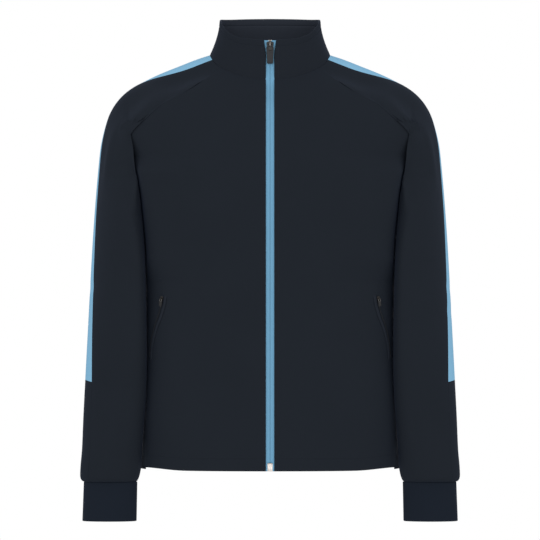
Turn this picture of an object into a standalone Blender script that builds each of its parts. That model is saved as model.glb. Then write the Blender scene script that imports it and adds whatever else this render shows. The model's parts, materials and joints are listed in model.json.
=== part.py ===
"""Zip-through track jacket with raglan sleeves, standing hollow as if worn.

Frame: metres, +Z up.  The front faces -Y and +X is the wearer's left.  The origin is
the middle of the neck at the height where the collar meets the shoulders.
Every cloth piece is a closed wall: a grid of points on the garment's outer surface,
and the same grid moved in by the cloth's thickness.  Sizes below are in millimetres.
"""

import math

import bmesh
import bpy
import numpy as np
from mathutils import Matrix

# ---------------------------------------------------------------- driving dimensions

MM = 0.001
SEAM_GAP = 0.3
CLOTH = 2.0             # double-knit body cloth
COLLAR_CLOTH = 3.0      # collar is two layers of cloth
CUFF_CLOTH = 2.6
HEM_Z = -684.5
NECK_FRONT_Z = -36.0    # collar seam at the centre front
NECK_BACK_Z = 8.0       # collar seam at the centre back
NECK_SIDE = (101.0, 2.0, 8.0)
UNDERARM_Z = -235.0
PINCH_TOP_Z = -90.0     # from here down the raglan seam turns into the armpit
ZIP_EDGE = 6.9          # from the centre front to each front edge
RING_MIDDLE_Y = 12.0    # where the body is widest
FINE = 400              # points on a fine line, from which a panel's few are read

BODY_ROWS = 10          # hem to underarm
RAGLAN_ROWS = 8         # underarm to neck, along the raglan seam
FRONT_COLUMNS = 10
BACK_COLUMNS = 10       # each side of the centre back
NECK_COLUMNS = 3        # sleeve top between the raglan seam and the stripe
STRIPE_COLUMNS = 3
COLLAR_ROWS = 4
CUFF_ROWS = 2

STRIPE_WIDTH = 38.0
STRIPE_LAST_ROW = 16    # last row of SLEEVE above the light stripe's end
STRIPE_END = 16.95      # where it ends, and how much lower its front edge ends
STRIPE_END_SLANT = 0.02

VENT_TOP_Z = -630.0
VENT_GAP = 2.4

TAPE_REACH = 16.0       # zip tape, from the centre front to its sewn edge
TAPE_CLOTH = 1.2
TAPE_TOP_Z = 29.0
TAPE_BEHIND = 0.5       # from the body cloth's back to the tape's face
TAPE_COLLAR_STEP = 1.1  # further back behind the thicker collar
TAPE_STEP_RUN = 24.0
BOX_TOP_Z = -671.0
BOX_HALF_WIDTH = 4.0
BOX_HALF_THICKNESS = 1.6
BOX_BEVEL = 0.6

NAVY = (0.014, 0.017, 0.026)
LIGHT_BLUE = (0.200, 0.413, 0.584)
DARK_GREY = (0.060, 0.064, 0.072)
GUNMETAL = (0.16, 0.15, 0.14)
SILVER = (0.62, 0.60, 0.57)


def table(columns, *rows):
    """Name the columns of a short table whose rows are sorted by the first column."""
    values = np.array(sorted(rows), float)
    named = {name: values[:, i] for i, name in enumerate(columns.split())}
    named["key"] = values[:, 0]
    return named


# The body's section at each height: half its width, how far its front and back stand
# from the line where it is widest, and its power, which is 2 for an ellipse and more
# for a squarer section.
BODY = table(
    "z half_width front back power",
    (-720, 224, 132, 107, 2.6),
    (-685, 220.5, 131, 106, 2.6),
    (-620, 215.2, 129, 103, 2.9),
    (-560, 211.8, 127, 100, 3.2),
    (-500, 209.3, 125.5, 97, 3.4),
    (-430, 208.5, 125, 96, 3.6),
    (-356, 209.6, 128, 101, 3.6),
    (-302, 212.2, 131, 106, 3.6),
    (-235, 219.5, 134, 111, 3.6),
    (-190, 229.0, 132, 111, 3.4),
    (-150, 248.0, 127, 108, 3.1),
    (-114, 278.0, 119.5, 104, 2.8),
    (-90, 290.0, 112, 98, 2.6),
    (-64, 286.0, 101.5, 88, 2.4),
    (-44, 262.0, 90, 77, 2.4),
    (-25, 220.0, 73, 66, 2.4),
    (-13, 180.0, 61, 59, 2.4),
    (0, 144.0, 54, 54, 2.4),
    (12, 106.0, 47, 50, 2.4),
)

# Where the side seam lies: it drifts to the front below the pocket.
SIDE_SEAM = table(
    "z y",
    (-690, -51), (-620, -38), (-541, -23), (-430, -20), (-235, -20),
)

# Raglan seams: from the neck across and down the chest or back (across, up), then
# round the armhole to the point under the arm (depth, up).
FRONT_RAGLAN = (
    (82.4, -15.5), (118.7, -47.5), (140.4, -57.4), (160.3, -67.2), (180.2, -79.0),
    (199.0, -93.6), (213.5, -112.0),
)
FRONT_ARMHOLE = (
    (-67.5, -132.0), (-60.0, -150.0), (-50.5, -175.0), (-43.0, -200.0), (-35.5, -218.0),
    (-28.0, -230.0), (-20.0, UNDERARM_Z),
)
BACK_RAGLAN = (
    (70.0, 9.5), (101.0, -20.0), (130.0, -44.0), (158.0, -64.0), (184.0, -86.0),
    (202.0, -112.0),
)
BACK_ARMHOLE = (
    (85.0, -140.0), (76.0, -165.0), (64.0, -190.0), (48.0, -211.0), (28.0, -226.0),
    (5.0, -233.5), (-20.0, UNDERARM_Z),
)

# Sleeve sections from the armhole to the sleeve's end: the point over the arm, the
# point under it, how far that one stands clear of the body's side, how far the
# section reaches to the front and back of the line between those points, how much of
# the armhole's own shape is left, and where the stripe's front edge lies from the
# point over the arm.
SLEEVE = table(
    "row over_x over_y over_z under_y under_z clear front back armhole stripe_front",
    (0, 101.0, 2, 8.0, -20.0, -235, 0.0, 70, 95, 1.00, 35),
    (1, 124.0, 2, 0.5, -20.3, -237, 0.5, 70, 94, 0.94, 37),
    (2, 147.0, 2, -8.5, -21.5, -239, 0.8, 69.5, 95, 0.86, 36),
    (3, 187.5, 1, -25.0, -25.5, -243, 1.4, 69.5, 94, 0.74, 25),
    (4, 222.5, 0, -42.0, -34.0, -248, 2.2, 66.5, 96, 0.61, 5),
    (5, 246.5, -1, -59.0, -42.0, -254, 2.7, 63.5, 98, 0.49, 3),
    (6, 261.5, -2, -77.0, -48.0, -261, 3.0, 60.5, 99, 0.38, 4),
    (7, 270.5, -3, -94.0, -52.0, -269, 3.1, 58, 99, 0.29, 6),
    (8, 277.0, -4, -114.0, -54.0, -278, 3.2, 58, 98, 0.21, 10),
    (9, 283.0, -5, -140.0, -55.0, -290, 3.2, 57, 96, 0.14, 15),
    (10, 287.0, -6, -172.0, -55.0, -306, 3.3, 57, 93, 0.08, 19),
    (11, 290.5, -7, -210.0, -55.0, -325, 3.3, 55, 90, 0.03, 21.5),
    (12, 294.0, -8, -254.0, -55.0, -348, 3.7, 54, 86, 0.00, 23.5),
    (13, 297.5, -9, -305.0, -55.0, -376, 4.0, 50, 80, 0.00, 25),
    (14, 300.5, -11, -360.0, -55.0, -410, 4.3, 47, 74, 0.00, 26),
    (15, 303.5, -14, -418.0, -55.0, -450, 4.8, 43, 69, 0.00, 27),
    (16, 306.3, -20, -476.0, -54.0, -496, 5.3, 40, 63, 0.00, 28.5),
    (17, 309.3, -28, -540.0, -52.0, -550, 5.8, 36, 54, 0.00, 30),
    (18, 312.3, -36, -606.0, -49.0, -610, 7.4, 33, 43, 0.00, 30),
    (19, 315.0, -42, -662.0, -47.0, -663, 8.0, 31.5, 35.5, 0.00, 29),
    (20, 316.8, -45, -692.0, -46.0, -692, 6.6, 30.5, 31.5, 0.00, 27),
    (21, 316.0, -45, -700.0, -45.0, -700, 7.2, 30, 30, 0.00, 26),
    (22, 313.6, -45, -704.0, -45.0, -704, 9.0, 26.5, 26.5, 0.00, 24),
    (23, 310.9, -45, -705.4, -45.0, -705.4, 10.8, 22.5, 22.5, 0.00, 22),
)
SLEEVE_END = 23
INNER_POWER = table(    # the section's power beside the body, in front and behind
    "row front back",
    (0, 2.0, 2.0), (2, 2.6, 2.0), (4, 3.3, 1.8), (8, 3.2, 1.6), (14, 3.2, 1.6),
    (20, 2.0, 2.0), (SLEEVE_END, 2.0, 2.0),
)
SEAM_HOLD = 1.6         # each row beside the raglan seam stands this much further off
SEAM_HOLD_ROWS = 3
SEAM_HOLD_COLUMNS = 3   # the hold fades over these columns above the underarm

CUFF = table(
    "drop over_x under_x half_depth",
    (0.0, 310.9, 221.1, 22.5),
    (65.4, 313.4, 222.3, 22.0),
)

# The fold between the chest and the arm, across and up, on the sleeve's front.
ARM_FOLD = ((241.5, -75), (235.5, -86), (229.0, -123), (223.0, -152), (219.0, -180))
FOLD_DEPTH = 4.5
FOLD_WIDTH = 10.0
FOLD_ROWS = 10

# The collar's rim, by its bearing round the neck from the centre front.
COLLAR_RIM = table(
    "bearing x y z",
    (0, 0, -67, 30.0),
    (10, 11, -66.5, 30.2),
    (38, 44, -60, 33.0),
    (52, 61, -51, 38.5),
    (70, 78, -32, 52.5),
    (86, 84.7, -10, 64.5),
    (105, 84, 18, 69.0),
    (128, 66, 47, 71.0),
    (152, 32, 57, 72.5),
    (180, 0, 60, 73.0),
)
COLLAR_AXIS_Y = -4.0
COLLAR_FLARE = 1.7
RIM_SPREAD = 3.4        # the front edges part at the rim, from this share of the height
RIM_SPREAD_FROM = 0.8

# The zip tapes' meeting edges: round the box at the hem, closed, and parted at the top.
TAPE_EDGE = table(
    "z from_centre",
    (HEM_Z, BOX_HALF_WIDTH + SEAM_GAP),
    (BOX_TOP_Z, BOX_HALF_WIDTH + SEAM_GAP),
    (BOX_TOP_Z + 0.6, SEAM_GAP / 2),
    (19.0, SEAM_GAP / 2),
    (24.5, 1.4),
    (TAPE_TOP_Z, 1.8),
)
TAPE_BOW = (0.1, 1.2)   # how far the sewn edge lies back, on the body and on the collar
TAPE_BOW_RUN = 60.0

# The pocket's mouth, across and up, from its top end down towards the side seam.
POCKET_LINE = (
    (178.0, -371.8), (177.5, -389.6), (178.5, -403.5), (182.7, -422.4),
    (191.5, -448.2), (197.6, -476.8), (199.6, -500.0),
)
# Strips along it: name, from and to across the mouth, thickness, finish.
POCKET_STRIPS = (
    ("pocket_zip", -1.6, 1.6, 0.8, "gunmetal"),
    ("pocket_welt", -8.6, -3.0, 1.4, "navy"),
)
POCKET_POINTS = 12
POCKET_SLIDER_POINT = 2.4


# ------------------------------------------------------------------------- curves

def cubic(knots, values, at):
    """Read a smooth curve through the values that never overshoots them."""
    knots, values = np.asarray(knots, float), np.asarray(values, float)
    step = np.diff(knots)
    rise = np.diff(values) / step
    slope = np.zeros_like(values)
    slope[0], slope[-1] = rise[0], rise[-1]
    same_way = rise[:-1] * rise[1:] > 0
    weight = step[1:] + 2 * step[:-1], 2 * step[1:] + step[:-1]
    blend = sum(weight) / (weight[0] / np.where(same_way, rise[1:], 1)
                           + weight[1] / np.where(same_way, rise[:-1], 1))
    slope[1:-1] = np.where(same_way, blend, 0)
    at = np.clip(np.asarray(at, float), knots[0], knots[-1])
    i = np.clip(np.searchsorted(knots, at, side="right") - 1, 0, len(step) - 1)
    t = (at - knots[i]) / step[i]
    start, end = values[i], values[i + 1]
    return (start * (1 + 2 * t) * (1 - t) ** 2 + slope[i] * step[i] * t * (1 - t) ** 2
            + end * t * t * (3 - 2 * t) - slope[i + 1] * step[i] * t * t * (1 - t))


def read(named, column, at):
    return cubic(named["key"], named[column], at)


def lengths(points):
    """Distance along a polyline at each of its points."""
    steps = np.linalg.norm(np.diff(points, axis=0), axis=1)
    return np.concatenate([[0.0], np.cumsum(steps)])


def along(points, distance):
    """Points of a polyline at the given distances."""
    run = lengths(points)
    return np.stack([np.interp(distance, run, points[:, i]) for i in range(3)], axis=-1)


def unit(vectors):
    return vectors / np.linalg.norm(vectors, axis=-1, keepdims=True)


def ease(amount):
    amount = np.clip(amount, 0, 1)
    return amount * amount * (3 - 2 * amount)


# ---------------------------------------------------------------- the body's surface
# A place on the body is (around, z): around is 0 at the centre front, 1 where the
# body is widest and 2 at the centre back.

QUARTER_WIDTH, QUARTER_DEPTH, QUARTER_POWER = 212.0, 125.0, 3.0
QUARTER_ANGLE = np.linspace(0, math.pi / 2, FINE)
QUARTER = np.stack([QUARTER_WIDTH * np.sin(QUARTER_ANGLE) ** (2 / QUARTER_POWER),
                    QUARTER_DEPTH * np.cos(QUARTER_ANGLE) ** (2 / QUARTER_POWER),
                    np.zeros(FINE)], axis=1)
QUARTER_LENGTH = lengths(QUARTER)[-1]
QUARTER_SHARE = lengths(QUARTER) / QUARTER_LENGTH


def body(around, z):
    around, z = np.broadcast_arrays(np.asarray(around, float), np.asarray(z, float))
    folded = np.where(around <= 1, around, 2 - around)
    angle = np.interp(folded, QUARTER_SHARE, QUARTER_ANGLE)
    width, power = (read(BODY, name, z) for name in ("half_width", "power"))
    depth = np.where(around <= 1, -read(BODY, "front", z), read(BODY, "back", z))
    x = width * np.sin(angle) ** (2 / power)
    y = RING_MIDDLE_Y + depth * np.clip(np.cos(angle), 0, 1) ** (2 / power)
    return np.stack([x, y, z], axis=-1)


def around_at_x(x, z, back=False):
    """The place around the body that stands this far from the centre."""
    share = np.clip(np.asarray(x) / read(BODY, "half_width", z), 0, 1)
    angle = np.arcsin(share ** (read(BODY, "power", z) / 2))
    around = np.interp(angle, QUARTER_ANGLE, QUARTER_SHARE)
    return 2 - around if back else around


def around_at_y(y, z):
    """The place at the side of the body that stands at this depth."""
    depth = np.where(y < RING_MIDDLE_Y, read(BODY, "front", z), read(BODY, "back", z))
    share = np.clip(np.abs(RING_MIDDLE_Y - y) / depth, 0, 1)
    angle = np.arccos(share ** (read(BODY, "power", z) / 2))
    around = np.interp(angle, QUARTER_ANGLE, QUARTER_SHARE)
    return np.where(y < RING_MIDDLE_Y, around, 2 - around)


def body_normal(around, z):
    small = 0.004
    across = body(np.clip(around + small, 0, 2), z) - body(np.clip(around - small, 0, 2), z)
    up = body(around, z + 1.0) - body(around, z - 1.0)
    return unit(np.cross(across, up))


def side_seam(z, side_of_seam):
    """The seam's place around the body, moved to one side for its gap and the vent."""
    vent = VENT_GAP * ease((VENT_TOP_Z - z) / (VENT_TOP_Z - HEM_Z))
    shift = side_of_seam * (SEAM_GAP + vent) / 2 / QUARTER_LENGTH
    return around_at_y(read(SIDE_SEAM, "y", z), z) + shift


# -------------------------------------------------------------------- raglan and neck

def raglan(chest, armhole, back):
    """Places along a raglan seam, from the neck to the underarm, evenly spaced."""
    places = [(float(around_at_x(x, z, back)), z) for x, z in chest]
    places += [(float(around_at_y(y, z)), z) for y, z in armhole]
    places = np.array(places)
    knots = np.arange(len(places))
    fine = np.linspace(0, len(places) - 1, FINE)
    around, z = (cubic(knots, places[:, i], fine) for i in (0, 1))
    run = lengths(body(around, z))
    even = np.linspace(0, run[-1], RAGLAN_ROWS + 1)
    return np.interp(even, run, around), np.interp(even, run, z), body(around, z)


FRONT_SEAM_AROUND, FRONT_SEAM_Z, FRONT_SEAM_LINE = raglan(FRONT_RAGLAN, FRONT_ARMHOLE, False)
BACK_SEAM_AROUND, BACK_SEAM_Z, BACK_SEAM_LINE = raglan(BACK_RAGLAN, BACK_ARMHOLE, True)


def neck_side_line(corner, inward):
    """The sleeve's share of the neck seam, from the side of the neck to a corner."""
    side = np.array(NECK_SIDE)
    reach = abs(corner[1] - side[1])
    start_pull, end_pull = 0.62 * reach, 0.35 * reach
    turn = side + np.array([0, math.copysign(start_pull, corner[1] - side[1]), 0])
    t = np.linspace(0, 1, FINE)[:, None]
    control = corner - np.array(inward) * end_pull
    return ((1 - t) ** 3 * side + 3 * t * (1 - t) ** 2 * turn
            + 3 * t * t * (1 - t) * control + t ** 3 * corner)


FRONT_NECK_LINE = neck_side_line(FRONT_SEAM_LINE[0], (-0.74, -0.52, -0.42))
BACK_NECK_LINE = neck_side_line(BACK_SEAM_LINE[0], (-0.87, 0.48, 0.10))


def seam_normal(around, z):
    """Outward at a raglan seam: at the underarm the two walls meet back to back."""
    pinch = ease((PINCH_TOP_Z - z) / (PINCH_TOP_Z - UNDERARM_Z))
    normal = body_normal(around, z)
    normal[..., 0] *= 1 - pinch
    normal[..., 2] -= pinch
    return unit(normal)


# -------------------------------------------------------------------------- sleeve

def armhole_half(facing):
    """The armhole from the side of the neck to the underarm, front (-1) or back (1)."""
    neck, seam = ((FRONT_NECK_LINE, FRONT_SEAM_LINE) if facing < 0
                  else (BACK_NECK_LINE, BACK_SEAM_LINE))
    return np.concatenate([neck, seam[1:]]), lengths(neck)[-1]


def section_ends(row):
    """The points over and under the arm at a place down the sleeve."""
    z, y = read(SLEEVE, "under_z", row), read(SLEEVE, "under_y", row)
    share = (RING_MIDDLE_Y - y) / read(BODY, "front", z)
    power = read(BODY, "power", z)
    side = read(BODY, "half_width", z) * (1 - share ** power) ** (1 / power)
    over = np.array([read(SLEEVE, name, row) for name in ("over_x", "over_y", "over_z")])
    return over, np.array([side + read(SLEEVE, "clear", row), y, z])


def half_oval(over, under, depth, facing, share, inner_power=2.0):
    """Half of an oval section, from over the arm (share 0) to under it (share 1)."""
    angle = math.pi * share[:, None]
    power = np.where(angle > math.pi / 2, inner_power, 2.0)
    run = np.sign(np.cos(angle)) * np.abs(np.cos(angle)) ** (2 / power)
    rise = np.clip(np.sin(angle), 0, 1) ** (2 / power)
    out = np.array([0.0, facing * depth, 0.0])
    return (over + under) / 2 + (over - under) / 2 * run + out * rise


def fold_in(points, amount):
    """Press the fold between chest and arm into the sleeve's front."""
    line = np.array(ARM_FOLD, float)
    flat = points[:, [0, 2]]
    nearest = np.full(len(points), 1e9)
    for start, end in zip(line[:-1], line[1:]):
        run = end - start
        t = np.clip((flat - start) @ run / (run @ run), 0, 1)[:, None]
        nearest = np.minimum(nearest, np.linalg.norm(flat - start - t * run, axis=1))
    points[:, 1] += amount * FOLD_DEPTH * np.exp(-(nearest / FOLD_WIDTH) ** 2)
    return points


def sleeve_half(row, facing):
    """A fine line round half of the sleeve, from over the arm to under it."""
    armhole, corner = armhole_half(facing)
    total = lengths(armhole)[-1]
    share = np.concatenate([np.linspace(0, corner, 41)[:-1],
                            np.linspace(corner, total, 161)]) / total
    reach = "front" if facing < 0 else "back"
    first, here = (half_oval(*section_ends(at), float(read(SLEEVE, reach, at)), facing, share,
                             float(read(INNER_POWER, reach, at)))
                   for at in (0, row))
    kept = read(SLEEVE, "armhole", row)
    points = here + kept * (along(armhole, share * total) - first)
    return fold_in(points, ease(row / 4)) if facing < 0 and row < FOLD_ROWS else points


def stripe_edge(row, facing):
    front = float(read(SLEEVE, "stripe_front", row))
    return front if facing < 0 else STRIPE_WIDTH - front


def sleeve_columns(row, facing):
    """Distances from over the arm to each column of a sleeve panel."""
    armhole, corner = armhole_half(facing)
    start = stripe_edge(0, facing) + SEAM_GAP / 2
    whole = lengths(armhole)[-1] - SEAM_GAP / 2 - start
    corner_share = (corner - start) / whole
    shares = np.concatenate([np.linspace(0, corner_share, NECK_COLUMNS + 1)[:-1],
                             np.linspace(corner_share, 1, RAGLAN_ROWS + 1)])
    start = stripe_edge(row, facing) + SEAM_GAP / 2
    whole = lengths(sleeve_half(row, facing))[-1] - SEAM_GAP / 2 - start
    return start + whole * shares


def sleeve_points(row, facing, distances):
    """Points and outward directions round the sleeve at one place down it."""
    small = 0.02
    ahead = min(row + small, SLEEVE_END)
    behind = max(row - small, 0.0)
    half = sleeve_half(row, facing)
    signed = np.asarray(distances, float)

    def place(line, distance):
        total = lengths(line)[-1]
        return along(line, np.clip(distance, 0, total))

    points = place(half, signed)
    lines = [sleeve_half(r, facing) for r in (behind, ahead)]
    share = signed / lengths(half)[-1]
    above, below = (place(line, share * lengths(line)[-1]) for line in lines)
    down = below - above
    round_arm = place(half, signed + 0.5) - place(half, signed - 0.5)
    return points, unit(np.cross(down, round_arm) * facing)


def sleeve_panel(facing):
    """Outer points and directions of the sleeve's front (-1) or back (1)."""
    rows = [sleeve_points(row, facing, sleeve_columns(row, facing))
            for row in range(SLEEVE_END + 1)]
    points = np.array([points for points, _ in rows])
    normals = np.array([normals for _, normals in rows])
    seam_around = FRONT_SEAM_AROUND if facing < 0 else BACK_SEAM_AROUND
    seam_z = FRONT_SEAM_Z if facing < 0 else BACK_SEAM_Z
    normals[0, NECK_COLUMNS:] = seam_normal(seam_around, seam_z)
    tangent = unit(np.gradient(points[0, NECK_COLUMNS:], axis=0))
    apart = unit(np.cross(tangent, normals[0, NECK_COLUMNS:])) * facing
    line = FRONT_SEAM_LINE if facing < 0 else BACK_SEAM_LINE
    hold = ease(np.arange(RAGLAN_ROWS, -1, -1) / SEAM_HOLD_COLUMNS)
    for row in range(1, SEAM_HOLD_ROWS + 1):
        beside = points[row, NECK_COLUMNS:]
        nearest = line[np.argmin(np.linalg.norm(beside[:, None] - line, axis=2), axis=1)]
        clear = np.sum((beside - nearest) * apart, axis=1)
        short = np.clip(hold * SEAM_HOLD * row - clear, 0, None)
        points[row, NECK_COLUMNS:] += short[:, None] * apart
    points[0, :NECK_COLUMNS] = step_off(points[0], points[1])[:NECK_COLUMNS]
    points[0, NECK_COLUMNS:] += SEAM_GAP * apart
    return points, normals


def step_off(edge, following, gap=SEAM_GAP):
    """Move a panel's edge off its seam, square to it, towards the next row."""
    tangent = unit(np.gradient(edge, axis=0))
    step = following - edge
    step -= np.sum(step * tangent, axis=1, keepdims=True) * tangent
    return edge + gap * unit(step)


def stripe_panel(rows_of_column, first_step):
    """Outer points and directions of a strip over the arm, front edge to back edge."""
    shares = np.linspace(0, 1, STRIPE_COLUMNS + 1)
    points, normals = [], []
    for rows in rows_of_column:
        line_points, line_normals = [], []
        for share, row in zip(shares, rows):
            front = stripe_edge(row, -1) - SEAM_GAP / 2
            back = stripe_edge(row, 1) - SEAM_GAP / 2
            distance = -front + share * (front + back)
            facing = -1 if distance < 0 else 1
            point, normal = sleeve_points(row, facing, [abs(distance)])
            line_points.append(point[0])
            line_normals.append(normal[0])
        points.append(line_points)
        normals.append(line_normals)
    points, normals = np.array(points), np.array(normals)
    points[0] = step_off(points[0], points[1], first_step)
    return points, normals


# ------------------------------------------------------------------------ the panels

def patch(bottom, top, left, right):
    """Fill four edge curves, given as (around, z) rows, with a smooth grid."""
    u = np.linspace(0, 1, len(bottom))[None, :, None]
    v = np.linspace(0, 1, len(left))[:, None, None]
    across = (1 - u) * left[:, None] + u * right[:, None]
    upward = (1 - v) * bottom[None] + v * top[None]
    corners = ((1 - u) * (1 - v) * bottom[0] + u * (1 - v) * bottom[-1]
               + (1 - u) * v * top[0] + u * v * top[-1])
    return across + upward - corners


def panel_places(middle_x, back):
    """Places of a half front or half back, from its middle line to its side."""
    columns = BACK_COLUMNS if back else FRONT_COLUMNS
    seam_around, seam_z = ((BACK_SEAM_AROUND, BACK_SEAM_Z) if back
                           else (FRONT_SEAM_AROUND, FRONT_SEAM_Z))
    low_z = np.linspace(HEM_Z, UNDERARM_Z, BODY_ROWS + 1)
    side_low = np.stack([side_seam(low_z, 1 if back else -1), low_z], axis=1)
    side_high = np.stack([seam_around, seam_z], axis=1)[::-1]
    neck_z = NECK_BACK_Z if back else NECK_FRONT_Z
    middle_z = np.concatenate([low_z, np.linspace(UNDERARM_Z, neck_z, RAGLAN_ROWS + 1)[1:]])
    middle = np.stack([around_at_x(middle_x, middle_z, back), middle_z], axis=1)

    t = np.linspace(0, 1, columns + 1)
    hem = middle[0] + t[:, None] * (side_low[0] - middle[0])
    chest = middle[BODY_ROWS] + t[:, None] * (side_low[-1] - middle[BODY_ROWS])
    corner_x = (BACK_RAGLAN if back else FRONT_RAGLAN)[0][0]
    neck_x = middle_x + t * (corner_x - middle_x)
    neck_line_z = neck_z + (side_high[-1][1] - neck_z) * t ** 2.1
    neck = np.stack([around_at_x(neck_x, neck_line_z, back), neck_line_z], axis=1)

    low = patch(hem, chest, middle[:BODY_ROWS + 1], side_low)
    high = patch(chest, neck, middle[BODY_ROWS:], side_high)
    return np.concatenate([low, high[1:]])


def panel_surface(places):
    """Outer points and directions of a panel, pinched where it meets the armhole."""
    around, z = places[..., 0], places[..., 1]
    points, normals = body(around, z), body_normal(around, z)
    normals[BODY_ROWS:, -1] = seam_normal(around[BODY_ROWS:, -1], z[BODY_ROWS:, -1])
    return points, normals


FRONT_PLACES = panel_places(ZIP_EDGE, back=False)
BACK_PLACES = panel_places(0.0, back=True)


# ------------------------------------------------------------------------- collar

def neck_seam():
    """The whole neck seam on one side, from the centre front to the centre back."""
    front = body(FRONT_PLACES[-1, :, 0], FRONT_PLACES[-1, :, 1])
    back = body(BACK_PLACES[-1, ::-1, 0], BACK_PLACES[-1, ::-1, 1])
    sides = []
    for facing in (-1, 1):
        armhole, corner = armhole_half(facing)
        edge = stripe_edge(0, facing)
        sides.append(along(armhole, np.linspace(corner, edge, NECK_COLUMNS + 1)))
    stripe = np.linspace(-stripe_edge(0, -1), stripe_edge(0, 1), STRIPE_COLUMNS + 1)[1:-1]
    over = [along(armhole_half(-1 if d < 0 else 1)[0], [abs(d)])[0] for d in stripe]
    return np.concatenate([front, sides[0][1:], over, sides[1][::-1][:-1], back])


def collar_surface():
    """Outer points and directions of the collar's half, from its seam to its rim."""
    seam = neck_seam() + np.array([0, 0, SEAM_GAP])
    bearing = np.degrees(np.arctan2(seam[:, 0], -(seam[:, 1] - COLLAR_AXIS_Y)))
    rim = np.stack([read(COLLAR_RIM, name, bearing) for name in "xyz"], axis=1)
    rows = []
    for height in np.linspace(0, 1, COLLAR_ROWS + 1):
        flare = (1 - height) ** COLLAR_FLARE
        row = rim + (seam - rim) * np.array([flare, flare, 1 - height])
        row[0, 0] = ZIP_EDGE + RIM_SPREAD * ease((height - RIM_SPREAD_FROM)
                                                 / (1 - RIM_SPREAD_FROM))
        rows.append(row)
    points = np.array(rows)
    points[:, -1, 0] = 0.0
    mirrored = points[:, -2::-1] * np.array([-1, 1, 1])
    whole = np.concatenate([points, mirrored], axis=1)
    across = np.gradient(whole, axis=1)
    up = np.gradient(whole, axis=0)
    return whole, unit(np.cross(across, up))


# ------------------------------------------------------------------- front zip line

def front_line(z):
    """Depth of the outer cloth at the centre front, body and collar alike."""
    z = np.asarray(z, float)
    on_body = RING_MIDDLE_Y - read(BODY, "front", np.minimum(z, NECK_FRONT_Z))
    rim_y, rim_z = COLLAR_RIM["y"][0], COLLAR_RIM["z"][0]
    height = np.clip((z - NECK_FRONT_Z) / (rim_z - NECK_FRONT_Z), 0, 1)
    seam_y = RING_MIDDLE_Y - read(BODY, "front", NECK_FRONT_Z)
    on_collar = rim_y + (seam_y - rim_y) * (1 - height) ** COLLAR_FLARE
    return np.where(z > NECK_FRONT_Z, on_collar, on_body)


def zip_frame(z, depth):
    """A point behind the outer cloth at the centre front, and the outward direction."""
    slope = (front_line(z + 1.5) - front_line(z - 1.5)) / 3.0
    outward = unit(np.stack([np.zeros_like(slope), -np.ones_like(slope), slope], axis=-1))
    place = np.stack([np.zeros_like(slope), front_line(z), np.asarray(z, float)], axis=-1)
    return place - outward * np.asarray(depth)[..., None], outward


def tape_depth(z):
    """How far the tape lies behind the outer cloth: the collar is thicker."""
    rise = (np.asarray(z, float) - NECK_FRONT_Z + TAPE_STEP_RUN) / TAPE_STEP_RUN
    return CLOTH + TAPE_BEHIND + TAPE_COLLAR_STEP * ease(rise)


# -------------------------------------------------------------------- making objects

def start_scene():
    for item in list(bpy.data.objects):
        bpy.data.objects.remove(item, do_unlink=True)
    kinds = {}
    for name in ("track_jacket", "track_jacket_cutters"):
        kinds[name] = bpy.data.collections.new(name)
        bpy.context.scene.collection.children.link(kinds[name])
    return kinds["track_jacket"], kinds["track_jacket_cutters"]


PARTS, CUTTERS = start_scene()


def surface_material(name, colour, roughness, metallic=0.0):
    material = bpy.data.materials.new(name)
    material.use_nodes = True
    shader = material.node_tree.nodes["Principled BSDF"]
    shader.inputs["Base Color"].default_value = (*colour, 1.0)
    shader.inputs["Roughness"].default_value = roughness
    shader.inputs["Metallic"].default_value = metallic
    return material


FINISHES = {
    "navy": (NAVY, 0.75, 0.0),
    "light_blue": (LIGHT_BLUE, 0.7, 0.0),
    "zip_tape": (LIGHT_BLUE, 0.55, 0.0),
    "grey": (DARK_GREY, 0.45, 0.0),
    "gunmetal": (GUNMETAL, 0.35, 1.0),
    "silver": (SILVER, 0.3, 1.0),
}


def add_object(name, vertices, faces, finish, frame=None):
    """Add one closed solid; a frame gives where its own axes stand, in millimetres."""
    mesh = bpy.data.meshes.new(name)
    mesh.from_pydata([tuple(point * MM) for point in vertices], [], faces)
    form = bmesh.new()
    form.from_mesh(mesh)
    if form.calc_volume(signed=True) < 0:
        bmesh.ops.reverse_faces(form, faces=form.faces)
    form.to_mesh(mesh)
    form.free()
    mesh.shade_smooth()
    mesh.set_sharp_from_angle(angle=math.radians(40))
    item = bpy.data.objects.new(name, mesh)
    item.data.materials.append(surface_material(name, *FINISHES[finish]))
    PARTS.objects.link(item)
    if frame is not None:
        item.matrix_world = frame
    return item


def wall(name, outer, inner, finish, mirror=False, closed=False):
    """Join two grids of points, outer and inner, into a closed wall."""
    rows, columns = outer.shape[:2]
    vertices = np.concatenate([outer.reshape(-1, 3), inner.reshape(-1, 3)])
    if mirror:
        vertices = vertices * np.array([-1, 1, 1])
    shift = rows * columns
    spans = columns if closed else columns - 1
    faces = []
    for i in range(rows - 1):
        for j in range(spans):
            k = (j + 1) % columns
            a, b, c, d = (i * columns + j, i * columns + k,
                          (i + 1) * columns + k, (i + 1) * columns + j)
            faces.append((a, b, c, d))
            faces.append((d + shift, c + shift, b + shift, a + shift))
    for j in range(spans):
        k = (j + 1) % columns
        last = (rows - 1) * columns
        faces.append((k, j, j + shift, k + shift))
        faces.append((last + j, last + k, last + k + shift, last + j + shift))
    if not closed:
        for i in range(rows - 1):
            a, b = i * columns, (i + 1) * columns
            faces.append((a, b, b + shift, a + shift))
            faces.append((b + columns - 1, a + columns - 1,
                          a + columns - 1 + shift, b + columns - 1 + shift))
    return add_object(name, vertices, faces, finish)


def cloth(name, points, normals, finish, thickness=CLOTH, mirror=False, closed=False):
    return wall(name, points, points - normals * thickness, finish, mirror, closed)


SIDES = (("left", False), ("right", True))


# ------------------------------------------------------------------- cloth pieces

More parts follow.
